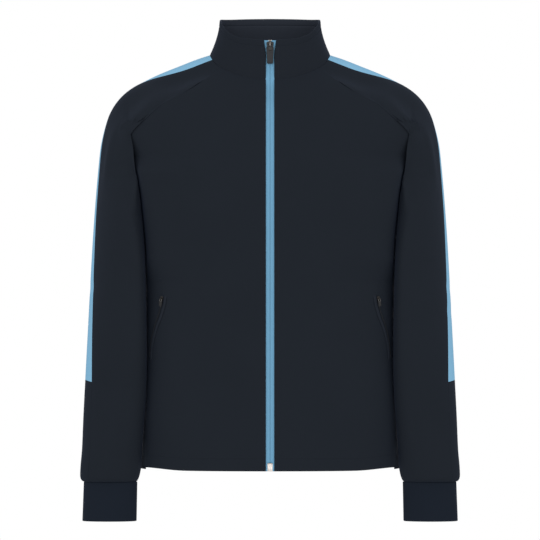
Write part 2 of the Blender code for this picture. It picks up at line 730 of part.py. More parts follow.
def add_body():
    for side, mirror in SIDES:
        cloth(f"front_{side}", *panel_surface(FRONT_PLACES), "navy", mirror=mirror)
    points, normals = panel_surface(BACK_PLACES)
    points[:, 0, 0] = 0.0
    normals[:, 0, 0] = 0.0
    flip = np.array([-1, 1, 1])
    both = [np.concatenate([half[:, :0:-1] * flip, half], axis=1)
            for half in (points, unit(normals))]
    cloth("back", *both, "navy")


def add_sleeves():
    stripe_shares = np.linspace(-1, 1, STRIPE_COLUMNS + 1)
    end_rows = STRIPE_END - STRIPE_END_SLANT * stripe_shares
    stripe_rows = [[row] * (STRIPE_COLUMNS + 1) for row in range(STRIPE_LAST_ROW + 1)]
    stripe_rows.append(list(end_rows - 0.003))
    lower_rows = [list(end_rows + 0.003)]
    lower_rows += [[row] * (STRIPE_COLUMNS + 1)
                   for row in range(STRIPE_LAST_ROW + 2, SLEEVE_END + 1)]
    for side, mirror in SIDES:
        cloth(f"sleeve_front_{side}", *sleeve_panel(-1), "navy", mirror=mirror)
        cloth(f"sleeve_back_{side}", *sleeve_panel(1), "navy", mirror=mirror)
        cloth(f"stripe_{side}", *stripe_panel(stripe_rows, SEAM_GAP), "light_blue",
              mirror=mirror)
        cloth(f"sleeve_strip_{side}", *stripe_panel(lower_rows, 0.0), "navy",
              mirror=mirror)


def add_cuffs():
    """Each cuff's ring has the same columns as the sleeve's end above it."""
    end = []
    for facing in (-1, 1):
        total = lengths(sleeve_half(SLEEVE_END, facing))[-1]
        end.append(sleeve_columns(SLEEVE_END, facing) / total)
    over = np.linspace(-stripe_edge(SLEEVE_END, -1), stripe_edge(SLEEVE_END, 1),
                       STRIPE_COLUMNS + 1)[1:-1] / total
    shares = np.concatenate([-end[0][::-1], over, end[1]])
    shares[0] = -1.0
    shares = shares[:-1]
    y = SLEEVE["over_y"][-1]
    top_z = SLEEVE["over_z"][-1] - SEAM_GAP
    rows = []
    for drop in np.linspace(0, CUFF["key"][-1], CUFF_ROWS + 1):
        over_point, under_point = (np.array([float(read(CUFF, name, drop)), y, top_z - drop])
                                   for name in ("over_x", "under_x"))
        depth = float(read(CUFF, "half_depth", drop))
        fine = np.linspace(0, 1, 200)
        halves = [half_oval(over_point, under_point, depth, facing, fine)
                  for facing in (-1, 1)]
        rows.append([along(halves[int(s > 0)], [abs(s) * lengths(halves[0])[-1]])[0]
                     for s in shares])
    points = np.array(rows)
    around = np.roll(points, -1, axis=1) - np.roll(points, 1, axis=1)
    outward = unit(np.stack([-around[..., 1], around[..., 0], np.zeros(points.shape[:2])],
                            axis=-1))
    centre = points.mean(axis=1, keepdims=True)
    outward *= np.sign(np.sum(outward * (points - centre), axis=-1, keepdims=True))
    for side, mirror in SIDES:
        cloth(f"cuff_{side}", points, outward, "navy", CUFF_CLOTH, mirror, closed=True)


def add_collar():
    cloth("collar", *collar_surface(), "navy", COLLAR_CLOTH)


def add_zip_tapes():
    """Two tapes that meet at the centre; each steps round the box at the hem and
    parts above the slider, and both bow back a little with the collar."""
    panel_levels = FRONT_PLACES[1:-1, 0, 1]
    collar_levels = np.linspace(NECK_FRONT_Z, COLLAR_RIM["z"][0], COLLAR_ROWS + 1)[:-1]
    levels = np.sort(np.concatenate([
        TAPE_EDGE["z"], panel_levels, collar_levels]))
    inner_edge = np.interp(levels, TAPE_EDGE["z"], TAPE_EDGE["from_centre"])
    place, outward = zip_frame(levels, tape_depth(levels))
    rows = []
    for centre, edge, z in zip(place, inner_edge, levels):
        bow = TAPE_BOW[0] + (TAPE_BOW[1] - TAPE_BOW[0]) * ease((z - NECK_FRONT_Z) / TAPE_BOW_RUN)
        x = np.array([edge, (edge + TAPE_REACH) / 2, TAPE_REACH])
        rows.append([centre + np.array([at, bow * (at / TAPE_REACH) ** 2, 0]) for at in x])
    points = np.array(rows)
    normals = np.repeat(outward[:, None], 3, axis=1)
    for side, mirror in SIDES:
        cloth(f"zip_tape_{side}", points, normals, "zip_tape", TAPE_CLOTH, mirror)


# ------------------------------------------------------------------- hard pieces
# Each is modelled about its own place: X across the zip, Y inwards, Z up the zip.

def frame_at(place, outward, up):
    """A frame in metres whose Y is inwards and whose Z runs up the zip."""
    inward = -unit(np.asarray(outward, float))
    upward = unit(np.asarray(up, float) - np.dot(up, inward) * inward)
    across = np.cross(inward, upward)
    matrix = np.eye(4)
    matrix[:3, 0], matrix[:3, 1], matrix[:3, 2] = across, inward, upward
    matrix[:3, 3] = np.asarray(place) * MM
    return Matrix(matrix.tolist())


def block(name, top_width, bottom_width, low_z, high_z, front, behind, bevel):
    """A block with its sides drawn in towards the bottom, from a cube."""
    mesh = bpy.data.meshes.new(name)
    form = bmesh.new()
    bmesh.ops.create_cube(form, size=1.0)
    for vertex in form.verts:
        width = top_width if vertex.co.z > 0 else bottom_width
        vertex.co.x *= width * MM
        vertex.co.y = (behind if vertex.co.y > 0 else -front) * MM
        vertex.co.z = (high_z if vertex.co.z > 0 else low_z) * MM
    form.to_mesh(mesh)
    form.free()
    item = bpy.data.objects.new(name, mesh)
    if bevel:
        rounding = item.modifiers.new("rounded", "BEVEL")
        rounding.width = bevel * MM
        rounding.segments = 2
    return item


def loop_band(name, outer, inner, half_thickness, axis):
    """A flat ring between two outlines of equal count, thick along one axis."""
    push = np.zeros(3)
    push[axis] = half_thickness
    rings = [outer - push, inner - push, inner + push, outer + push]
    count = len(outer)
    vertices = np.concatenate(rings)
    faces = []
    for r in range(4):
        for j in range(count):
            k = (j + 1) % count
            s = (r + 1) % 4
            faces.append((r * count + j, r * count + k, s * count + k, s * count + j))
    return add_object(name, vertices, faces, "gunmetal")


def add_slider(name, frame, size, finish):
    """A slider body: front plate, bridge for the pull, post and back plate."""
    plate = block(name, size["top"], size["bottom"], -size["below"], size["above"],
                  size["plate"] + SEAM_GAP, -SEAM_GAP, size["bevel"])
    plate.data.materials.append(surface_material(name, *FINISHES[finish]))
    PARTS.objects.link(plate)
    plate.matrix_world = frame

    turn = np.linspace(0, 2 * math.pi, 20, endpoint=False)
    circle = np.stack([np.zeros(20), np.cos(turn), np.sin(turn)], axis=1)
    centre = np.array([0, -size["pivot"], 0])
    bridge = loop_band(f"{name}_bridge", centre + circle * size["bridge_outer"],
                       centre + circle * size["bridge_inner"], size["bridge_width"] / 2, 0)
    joined = [bridge]
    if size["post"]:
        behind = TAPE_CLOTH + SEAM_GAP
        joined.append(block(f"{name}_post", POST["width"], POST["width"],
                            size["above"] - POST["low"], size["above"] - POST["high"],
                            POST["sunk"], behind + POST["sunk"], 0))
        joined.append(block(f"{name}_back", size["bottom"], size["bottom"], -size["below"],
                            size["above"] - POST["high"] / 2, -behind,
                            behind + POST["back_plate"], 0))
    for extra in joined:
        for holder in list(extra.users_collection):
            holder.objects.unlink(extra)
        CUTTERS.objects.link(extra)
        extra.matrix_world = frame
        extra.hide_render = True
        extra.display_type = "WIRE"
        union = plate.modifiers.new(extra.name, "BOOLEAN")
        union.operation = "UNION"
        union.object = extra
    return plate


def add_pull(name, frame, pull, finish):
    """A pull tab with a round hole at its top; its origin is on its hinge."""
    radius, half_end = pull["hole"] + pull["rim"], pull["end_width"] / 2
    centre_z = -(pull["hole"] + pull["rim"] / 2)
    shoulder = math.radians(97)
    ring = np.linspace(-shoulder, shoulder, pull["sides"])
    outline = [(radius * math.sin(turn), 0, centre_z + radius * math.cos(turn))
               for turn in ring]
    corner = pull["corner"]
    for side, turns in ((1, (0, 45, 90)), (-1, (90, 45, 0))):
        for turn in np.radians(turns):
            outline.append((side * (half_end - corner + corner * math.cos(turn)), 0,
                            -pull["length"] + corner - corner * math.sin(turn)))
    lower = np.linspace(shoulder, 2 * math.pi - shoulder, 8)[1:-1]
    turns = np.concatenate([ring, lower])
    hole = np.stack([pull["hole"] * np.sin(turns), np.zeros(len(turns)),
                     centre_z + pull["hole"] * np.cos(turns)], axis=1)
    tab = loop_band(name, np.array(outline), hole, pull["thick"] / 2, 1)
    tab.data.materials[0] = surface_material(name, *FINISHES[finish])
    tab.matrix_world = frame
    if pull["bevel"]:
        rounding = tab.modifiers.new("rounded", "BEVEL")
        rounding.width = pull["bevel"] * MM
        rounding.segments = 1
        rounding.limit_method = "ANGLE"
    return tab


POST = {"width": 2.0, "low": 4.0, "high": 1.0, "sunk": 0.6, "back_plate": 1.2}
MAIN_SLIDER = {"top": 12.0, "bottom": 9.0, "above": 8.6, "below": 9.0, "plate": 1.8,
               "bevel": 0.5, "pivot": 4.1, "bridge_outer": 2.8, "bridge_inner": 1.6,
               "bridge_width": 2.6, "post": True}
MAIN_PULL = {"hole": 4.2, "rim": 2.0, "length": 31.0, "end_width": 9.9, "thick": 1.6,
             "sides": 19, "corner": 1.8, "bevel": 0.3}
MAIN_PIVOT_Z = 20.8
POCKET_SLIDER = {"top": 4.9, "bottom": 4.0, "above": 4.0, "below": 4.4, "plate": 1.2,
                 "bevel": 0.25, "pivot": 2.8, "bridge_outer": 1.9, "bridge_inner": 1.05,
                 "bridge_width": 1.6, "post": False}
POCKET_PULL = {"hole": 1.75, "rim": 1.2, "length": 12.0, "end_width": 4.4, "thick": 1.1,
               "sides": 13, "corner": 0.9, "bevel": 0}


def moved_out(frame, distance):
    """The same frame, moved outwards by a distance in millimetres."""
    return frame @ Matrix.Translation((0, -distance * MM, 0))


def add_front_zip():
    add_zip_tapes()
    at = np.array([MAIN_PIVOT_Z])
    place, outward = zip_frame(at, tape_depth(at))
    frame = frame_at(place[0], outward[0], (0, 0, 1))
    add_slider("zip_slider", frame, MAIN_SLIDER, "gunmetal")
    add_pull("zip_pull", moved_out(frame, MAIN_SLIDER["pivot"]), MAIN_PULL, "grey")

    at = np.array([(BOX_TOP_Z - SEAM_GAP + HEM_Z) / 2])
    place, outward = zip_frame(at, tape_depth(at) + TAPE_CLOTH / 2)
    half = (BOX_TOP_Z - SEAM_GAP - HEM_Z) / 2
    box = block("zip_box", 2 * BOX_HALF_WIDTH, 2 * BOX_HALF_WIDTH, -half, half,
                BOX_HALF_THICKNESS, BOX_HALF_THICKNESS, BOX_BEVEL)
    box.data.materials.append(surface_material("zip_box", *FINISHES["silver"]))
    PARTS.objects.link(box)
    box.matrix_world = frame_at(place[0], outward[0], (0, 0, 1))


def pocket_line():
    """Fine points, outward and sideways directions down the pocket's mouth."""
    listed = np.array(POCKET_LINE)
    knots = lengths(np.pad(listed, ((0, 0), (0, 1))))
    at = np.linspace(0, knots[-1], POCKET_POINTS)
    x, z = (cubic(knots, listed[:, i], at) for i in (0, 1))
    around = around_at_x(x, z)
    points, outward = body(around, z), body_normal(around, z)
    down = unit(np.gradient(points, axis=0))
    return points, outward, unit(np.cross(outward, down))


def add_pockets():
    """A narrow zip along each pocket's mouth, and a welt beside it."""
    points, outward, sideways = pocket_line()
    for kind, start, end, thickness, finish in POCKET_STRIPS:
        across = np.linspace(start, end, 3)
        grid = points[:, None] + sideways[:, None] * across[None, :, None]
        around = around_at_x(grid[..., 0], grid[..., 2])
        base = body(around, grid[..., 2])
        normal = body_normal(around, grid[..., 2])
        outer = base + normal * (SEAM_GAP + thickness)
        for side, mirror in SIDES:
            wall(f"{kind}_{side}", outer, base + normal * SEAM_GAP, finish, mirror)
    index = POCKET_SLIDER_POINT
    low, high = int(index), int(index) + 1
    blend = index - low
    place = points[low] * (1 - blend) + points[high] * blend
    coil = POCKET_STRIPS[0][3]
    normal = unit(outward[low] * (1 - blend) + outward[high] * blend)
    up = points[low - 1] - points[high + 1]
    for side, mirror in SIDES:
        flip = np.array([-1 if mirror else 1, 1, 1])
        frame = frame_at((place + normal * (SEAM_GAP + coil)) * flip, normal * flip, up * flip)
        add_slider(f"pocket_slider_{side}", frame, POCKET_SLIDER, "gunmetal")
        add_pull(f"pocket_pull_{side}", moved_out(frame, POCKET_SLIDER["pivot"]),
                 POCKET_PULL, "gunmetal")


add_body()
add_sleeves()
add_cuffs()
add_collar()
add_front_zip()
add_pockets()
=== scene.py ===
"""Looks of the zip-through track jacket: cloth shells, sewing, zips, light and camera."""

import json
import math

import bmesh
import bpy
import numpy as np
from mathutils import Matrix, Vector
from mathutils.kdtree import KDTree


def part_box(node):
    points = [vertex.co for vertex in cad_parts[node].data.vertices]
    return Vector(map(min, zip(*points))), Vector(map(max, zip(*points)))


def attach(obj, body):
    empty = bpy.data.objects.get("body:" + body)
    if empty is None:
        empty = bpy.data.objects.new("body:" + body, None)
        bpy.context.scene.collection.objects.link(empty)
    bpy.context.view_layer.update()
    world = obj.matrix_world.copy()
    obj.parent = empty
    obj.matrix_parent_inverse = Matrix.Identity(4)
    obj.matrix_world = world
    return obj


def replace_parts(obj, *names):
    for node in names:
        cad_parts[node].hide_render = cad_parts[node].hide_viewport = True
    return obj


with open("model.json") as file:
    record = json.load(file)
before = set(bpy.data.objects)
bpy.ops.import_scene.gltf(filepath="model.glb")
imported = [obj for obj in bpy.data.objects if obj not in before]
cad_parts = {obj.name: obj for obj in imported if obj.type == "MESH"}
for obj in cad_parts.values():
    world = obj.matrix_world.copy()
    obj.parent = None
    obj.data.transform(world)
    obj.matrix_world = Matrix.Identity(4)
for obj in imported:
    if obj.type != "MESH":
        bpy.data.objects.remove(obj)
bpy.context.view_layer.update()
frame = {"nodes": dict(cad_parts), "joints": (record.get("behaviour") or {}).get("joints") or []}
NODES = frame["nodes"]

MM = 0.001
CLOTH, COLLAR_CLOTH, TAPE_CLOTH = 2.0 * MM, 3.0 * MM, 1.2 * MM
POCKET_TAPE_CLOTH, WELT_CLOTH = 0.8 * MM, 1.4 * MM
FLAT_SEAM, PLAIN_SEAM, CUFF_SEAM = 0.1 * MM, 0.12 * MM, 0.15 * MM
HEM_LINE, COLLAR_STITCH = 20 * MM, 11 * MM
ZIP_STITCH, VENT_STITCH, VENT_HEIGHT = 5 * MM, 4 * MM, 54.5 * MM
SIDES = (("left", 1), ("right", -1))


def linked(name, data):
    """A new object in the scene, made of its data."""
    thing = bpy.data.objects.new(name, data)
    bpy.context.scene.collection.objects.link(thing)
    return thing


def kind_and_side(name):
    """A node's name without its side, and the side."""
    kind, _, side = name.rpartition("_")
    return (kind, side) if side in ("left", "right") else (name, "")


# ---------------------------------------------------------------- reading the walls

WELD, RIM_TOLERANCE = 0.002 * MM, 0.0003 * MM


def welded(node):
    """A CAD node's points and triangles, with its loose triangles joined."""
    form = bmesh.new()
    form.from_mesh(NODES[node].data)
    bmesh.ops.remove_doubles(form, verts=form.verts, dist=WELD)
    form.verts.index_update()
    points = np.array([vertex.co[:] for vertex in form.verts])
    triangles = [tuple(vertex.index for vertex in face.verts) for face in form.faces]
    form.free()
    return points, triangles


def walk_grid(loop, rows, columns, start, beyond, flip):
    """Number a wall's face cell by cell from its edge loop; None if the guess is wrong."""
    def third(a, b):
        return beyond.get((b, a) if flip else (a, b))

    grid = np.full((rows, columns), -1)
    grid[0] = [loop[(start + j) % len(loop)] for j in range(columns)]
    grid[:, 0] = [loop[(start - i) % len(loop)] for i in range(rows)]
    for i in range(rows - 1):
        for j in range(columns - 1):
            a, b, d = grid[i, j], grid[i, j + 1], grid[i + 1, j]
            c = third(a, b)
            if c == d:
                c = third(d, b)
            elif c is None or third(a, c) != d:
                return None
            if c is None:
                return None
            grid[i + 1, j + 1] = c
    return grid if len(set(grid.flat)) == grid.size else None


def read_wall(node, thickness, outward):
    """A wall's outer and inner points, rows by columns.

    The wall's rim is found by its short edges, which are as long as the cloth is thick.
    """
    points, triangles = welded(node)
    beyond = {}
    for a, b, c in triangles:
        beyond[a, b], beyond[b, c], beyond[c, a] = c, a, b
    short = {(a, b) for a, b in beyond
             if abs(np.linalg.norm(points[a] - points[b]) - thickness) < RIM_TOLERANCE}
    rim = {a for a, _ in short}
    across = {a: b for a, b in short if beyond[a, b] in rim and beyond[b, a] in rim}

    def following(a):
        b = across[a]
        c = beyond[a, b]
        return c if beyond[c, b] == across.get(c) else across[c]

    loop = [next(iter(across))]
    while len(loop) == 1 or loop[-1] != loop[0]:
        loop.append(following(loop[-1]))
    loop.pop()
    back = [across[a] for a in loop]
    facing = np.sum((points[loop] - points[back]) * outward(points[loop]))
    if facing < 0:
        loop, back = back, loop
    half, total = len(loop) // 2 + 2, len(points) // 2
    spread = math.sqrt(half * half - 4 * total)
    sizes = {(round((half - spread) / 2), round((half + spread) / 2))}
    sizes |= {(columns, rows) for rows, columns in sizes}
    for rows, columns in sorted(sizes):
        for start in range(len(loop)):
            outer = walk_grid(loop, rows, columns, start, beyond, facing < 0)
            if outer is not None:
                inner = walk_grid(back, rows, columns, start, beyond, facing >= 0)
                if inner is not None:
                    return points[outer], points[inner]
    raise ValueError(f"{node} isn't a plain wall")


def turned(walls, rising, crossing):
    """A wall's grids turned so that the rows go up in rising, and the columns in crossing."""
    def climb(line, measure):
        values = measure(line)
        return float(np.mean(values[-1]) - np.mean(values[0]))

    ways = []
    for swap in (False, True):
        grids = [wall.transpose(1, 0, 2) if swap else wall for wall in walls]
        ways.append((abs(climb(grids[0], rising)), swap, grids))
    grids = max(ways, key=lambda way: way[0])[2]
    if climb(grids[0], rising) < 0:
        grids = [grid[::-1] for grid in grids]
    if climb(grids[0].transpose(1, 0, 2), crossing) < 0:
        grids = [grid[:, ::-1] for grid in grids]
    return grids


def read_ring(node):
    """A cuff's outer and inner points: three rings, each sorted by its bearing."""
    points, _ = welded(node)
    middle = points[:, :2].mean(axis=0)
    rings = []
    levels = np.argsort(-points[:, 2]).reshape(3, -1)
    for level in levels:
        ring = points[level]
        away = np.hypot(*(ring[:, :2] - middle).T)
        bearing = np.arctan2(ring[:, 1] - middle[1], ring[:, 0] - middle[0])
        order = np.argsort(bearing)
        pairs = ring[order]
        away = away[order]
        outer, inner = [], []
        for k in range(0, len(pairs), 2):
            first, second = (k, k + 1) if away[k] > away[k + 1] else (k + 1, k)
            outer.append(pairs[first])
            inner.append(pairs[second])
        rings.append((outer, inner))
    return (np.array([ring[0] for ring in rings]), np.array([ring[1] for ring in rings]))


# ---------------------------------------------------------------- smooth surfaces

CELL = 4.5 * MM                  # spacing of the shells' points
CLOSEST = 0.3 * MM               # two rows or columns
EDGE_STEPS = (0.35 * MM, 1.0 * MM, 2.2 * MM)
GROOVE_STEPS = (-2.0 * MM, -1.0 * MM, 0.0, 1.0 * MM, 2.0 * MM)
GROOVE_WIDTH, SEAM_DIP_WIDTH = 0.8 * MM, 1.7 * MM
RING_LAP = 6                     # points by which a ring's ends overlap while it is smoothed
THINNEST = 0.03                  # share of a folded edge's radius at which its faces meet


def bend(knots, values, at):
    """Natural cubic splines through values, along their first axis, read at other places."""
    count, gaps = len(knots), np.diff(knots)
    matrix, right = np.eye(count), np.zeros_like(values)
    slopes = np.diff(values, axis=0) / gaps.reshape((-1,) + (1,) * (values.ndim - 1))
    for i in range(1, count - 1):
        matrix[i, i - 1:i + 2] = gaps[i - 1], 2 * (gaps[i - 1] + gaps[i]), gaps[i]
        right[i] = 6 * (slopes[i] - slopes[i - 1])
    curve = np.linalg.solve(matrix, right.reshape(count, -1)).reshape(values.shape)
    k = np.clip(np.searchsorted(knots, at, side="right") - 1, 0, count - 2)
    shape = (-1,) + (1,) * (values.ndim - 1)
    gap = gaps[k].reshape(shape)
    done = (np.asarray(at) - knots[k]).reshape(shape)
    left = gap - done
    return ((curve[k] * left ** 3 + curve[k + 1] * done ** 3) / (6 * gap)
            + (values[k] / gap - curve[k] * gap / 6) * left
            + (values[k + 1] / gap - curve[k + 1] * gap / 6) * done)


def spacing(grid):
    """How far each row of a grid lies along it, on average."""
    steps = np.linalg.norm(np.diff(grid, axis=0), axis=2).mean(axis=1)
    return np.concatenate([[0.0], np.cumsum(steps)])


def stations(length, cell, near_edges, grooves=()):
    """Places along a length: even, and closer by its edges and grooves.

    A groove is given by how far it lies from the start, or if less than zero from the end.
    """
    count = max(2, round(length / cell))
    places = list(np.linspace(0, length, count + 1))
    for step in near_edges:
        places += [step, length - step]
    for groove in grooves:
        places += [groove % length + step for step in GROOVE_STEPS]
    places = sorted(place for place in places if 0 <= place <= length)
    kept = [places[0]]
    for place in places[1:]:
        if place - kept[-1] > CLOSEST:
            kept.append(place)
    kept[-1] = length
    return np.array(kept)


def unit(vectors):
    return vectors / np.maximum(np.linalg.norm(vectors, axis=-1, keepdims=True), 1e-12)


def ease(share):
    share = np.clip(share, 0, 1)
    return share * share * (3 - 2 * share)


class Cloth:
    """A wall's two faces on a fine grid, and how far each row and column lies along it."""

    def __init__(self, outer, inner, cell=CELL, row_grooves=(), column_grooves=(), ring=False):
        if ring:
            outer, inner = (np.concatenate([wall, wall[:, :RING_LAP]], axis=1)
                            for wall in (outer, inner))
        rows, columns = spacing(outer), spacing(outer.transpose(1, 0, 2))
        lap = RING_LAP // 2 if ring else 0
        start, stop = columns[lap], columns[-1 - lap]
        self.down = stations(rows[-1], cell, EDGE_STEPS, row_grooves)
        self.over = start + stations(stop - start, cell, () if ring else EDGE_STEPS,
                                     column_grooves)
        self.length, self.width = rows[-1], stop - start
        self.outer, self.inner = (
            bend(columns, bend(rows, wall, self.down).transpose(1, 0, 2), self.over)
            .transpose(1, 0, 2) for wall in (outer, inner))
        self.over = self.over - start
        self.ring = ring
        if ring:
            self.outer[:, -1], self.inner[:, -1] = self.outer[:, 0], self.inner[:, 0]
        self.thickness = np.linalg.norm(outer - inner, axis=2).mean()

    @classmethod
    def plain(cls, outer, inner):
        """Cloth from two grids that are fine enough already."""
        made = cls.__new__(cls)
        made.outer, made.inner, made.ring = outer, inner, False
        made.down, made.over = spacing(outer), spacing(outer.transpose(1, 0, 2))
        made.length, made.width = made.down[-1], made.over[-1]
        made.thickness = np.linalg.norm(outer - inner, axis=2).mean()
        return made

    def normals(self):
        along = np.gradient(self.outer, axis=0)
        across = np.gradient(self.outer, axis=1)
        if self.ring:
            across[:, 0] = across[:, -1] = self.outer[:, 1] - self.outer[:, -2]
        normal = unit(np.cross(along, across))
        sign = np.sign(np.sum(normal * (self.outer - self.inner)))
        return normal * sign

    def press(self, depth):
        """Move the cloth in by depth, which is given for each point."""
        move = self.normals() * depth[..., None]
        self.outer -= move
        self.inner -= move

    def shift(self, axis, distance):
        """Move the cloth along X, Y or Z by a distance, which is given for each point."""
        for wall in (self.outer, self.inner):
            wall[..., axis] += distance

    def edge_distance(self, edge):
        """How far each point lies from one of the edges: top, bottom, first or last."""
        away = {"top": self.down[:, None], "bottom": (self.length - self.down)[:, None],
                "first": self.over[None], "last": (self.width - self.over)[None]}
        return np.broadcast_to(away[edge], self.outer.shape[:2])

    def roll_seams(self, edges):
        """The outer face turns in towards a seam."""
        depth = np.zeros(self.outer.shape[:2])
        for edge, dip in edges.items():
            near = np.clip(1 - self.edge_distance(edge) / SEAM_DIP_WIDTH, 0, 1)
            depth = np.maximum(depth, dip * near ** 2)
        self.outer = self.outer - self.normals() * depth[..., None]

    def round_edges(self, edges):
        """A folded edge is round: both faces meet in the middle of the cloth."""
        share = np.ones(self.outer.shape[:2])
        radius = self.thickness / 2
        for edge in edges:
            into = np.clip(self.edge_distance(edge) / radius, THINNEST, 1)
            share = np.minimum(share, np.sqrt(1 - (1 - into) ** 2))
        middle = (self.outer + self.inner) / 2
        self.outer = middle + (self.outer - middle) * share[..., None]
        self.inner = middle + (self.inner - middle) * share[..., None]

    def groove(self, edge, distance, depth):
        """A sewn line a distance in from an edge."""
        near = np.exp(-((self.edge_distance(edge) - distance) / GROOVE_WIDTH) ** 2)
        self.outer = self.outer - self.normals() * (depth * near)[..., None]

    def spot(self, down, over):
        """Points and normals of the outer face at places along and across it."""
        normal = self.normals()
        i = np.clip(np.searchsorted(self.down, down) - 1, 0, len(self.down) - 2)
        j = np.clip(np.searchsorted(self.over, over) - 1, 0, len(self.over) - 2)
        a = ((down - self.down[i]) / (self.down[i + 1] - self.down[i]))[:, None]
        b = ((over - self.over[j]) / (self.over[j + 1] - self.over[j]))[:, None]

        def mix(grid):
            return ((grid[i, j] * (1 - b) + grid[i, j + 1] * b) * (1 - a)
                    + (grid[i + 1, j] * (1 - b) + grid[i + 1, j + 1] * b) * a)

        return mix(self.outer), unit(mix(normal))

    def shell(self):
        """The closed shell's points, its faces and the cloth's lengths at their corners."""
        rows, columns = self.outer.shape[:2]
        around = columns - 1 if self.ring else columns
        outer, inner = self.outer[:, :around], self.inner[:, :around]
        points = np.concatenate([outer.reshape(-1, 3), inner.reshape(-1, 3)])
        inside = rows * around
        i, j = np.meshgrid(np.arange(rows - 1), np.arange(columns - 1), indexing="ij")
        k = (j + 1) % around
        quads = np.stack([i * around + j, i * around + k,
                          (i + 1) * around + k, (i + 1) * around + j], axis=-1).reshape(-1, 4)
        spots = np.stack([np.stack([self.over[b], self.down[a]], axis=-1) for a, b in (
            (i, j), (i, j + 1), (i + 1, j + 1), (i + 1, j))], axis=2).reshape(-1, 4, 2)
        faces, corners = [quads, quads[:, ::-1] + inside], [spots, spots[:, ::-1]]
        across = unit(np.cross(points[quads[:, 1]] - points[quads[:, 0]],
                               points[quads[:, 3]] - points[quads[:, 0]]))
        if np.sum(across * (outer - inner).reshape(-1, 3)[quads[:, 0]]) < 0:
            faces, corners = ([lot[:, ::-1] for lot in lots] for lots in (faces, corners))
        steps = np.arange(columns - 1)
        rims = [(line * around + steps, line * around + (steps + 1) % around,
                 np.stack([self.over, np.full(columns, self.down[line])], axis=1))
                for line in (0, rows - 1)]
        if not self.ring:
            steps = np.arange(rows - 1) * around
            rims += [(steps + line, steps + line + around,
                      np.stack([np.full(rows, self.over[line]), self.down], axis=1))
                     for line in (0, columns - 1)]
        for start, end, uv in rims:
            faces.append(np.stack([start, end, end + inside, start + inside], axis=1))
            corners.append(np.stack([uv[:-1], uv[1:], uv[1:], uv[:-1]], axis=1))
        return points, np.concatenate(faces).tolist(), np.concatenate(corners).tolist()

    def piece(self, name, material, inside_finish=None):
        """The shell as one mesh with its lengths as UVs, and another finish inside if given."""
        points, faces, corners = self.shell()
        mesh = bpy.data.meshes.new(name)
        mesh.from_pydata(points.tolist(), [], faces)
        form = bmesh.new()
        form.from_mesh(mesh)
        bmesh.ops.recalc_face_normals(form, faces=form.faces)
        layer = form.loops.layers.uv.new("cloth")
        places = {tuple(sorted(face)): dict(zip(face, spots)) for face, spots in zip(faces, corners)}
        for face in form.faces:
            numbers = [vertex.index for vertex in face.verts]
            face.smooth = True
            face.material_index = int(inside_finish is not None and min(numbers) >= len(points) // 2)
            spot_of = places[tuple(sorted(numbers))]
            for loop in face.loops:
                loop[layer].uv = spot_of[loop.vert.index]
        form.to_mesh(mesh)
        form.free()
        for finish in filter(None, (material, inside_finish)):
            mesh.materials.append(finish)
        thing = linked(name, mesh)
        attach(thing, "jacket")
        return thing


# ---------------------------------------------------------------- finishes

WAVE_RATE = 0.314                # scale of a wave texture whose waves are a metre long
SHEEN_TINT = (0.30, 0.42, 0.75, 1)


def socket(tree, kind, name, side="INPUT", value=None):
    made = tree.interface.new_socket(name=name, in_out=side, socket_type="NodeSocket" + kind)
    if value is not None:
        made.default_value = value
    return made


def add_node(tree, kind, links=None, **settings):
    """A node with its settings, and its inputs filled from values or other nodes' outputs."""
    node = tree.nodes.new("ShaderNode" + kind)
    for name, value in settings.items():
        setattr(node, name, value)
    for name, value in (links or {}).items():
        if isinstance(value, bpy.types.NodeSocket):
            tree.links.new(value, node.inputs[name])
        else:
            node.inputs[name].default_value = value
    return node


def mottle_group():
    """A colour made slightly uneven, in patches and from yarn to yarn."""
    tree = bpy.data.node_groups.new("mottle", "ShaderNodeTree")
    socket(tree, "Color", "Colour")
    socket(tree, "Float", "Patches", value=0.1)
    socket(tree, "Float", "Yarns", value=0.1)
    socket(tree, "Color", "Colour", "OUTPUT")
    given, out = tree.nodes.new("NodeGroupInput"), tree.nodes.new("NodeGroupOutput")
    place = add_node(tree, "TexCoord").outputs["Object"]
    amounts = []
    for scale, amount in ((9.0, "Patches"), (1400.0, "Yarns")):
        noise = add_node(tree, "TexNoise", {"Vector": place, "Scale": scale, "Detail": 2.0})
        centred = add_node(tree, "Math", {0: noise.outputs["Fac"], 1: 0.5},
                           operation="SUBTRACT").outputs[0]
        amounts.append(add_node(tree, "Math", {0: centred, 1: given.outputs[amount]},
                                operation="MULTIPLY").outputs[0])
    both = add_node(tree, "Math", {0: amounts[0], 1: amounts[1]}, operation="ADD").outputs[0]
    bright = add_node(tree, "Math", {0: both, 1: 1.0}, operation="ADD").outputs[0]
    scaled = add_node(tree, "VectorMath", {0: given.outputs["Colour"], "Scale": bright},
                      operation="SCALE").outputs[0]
    tree.links.new(scaled, out.inputs["Colour"])
    return tree


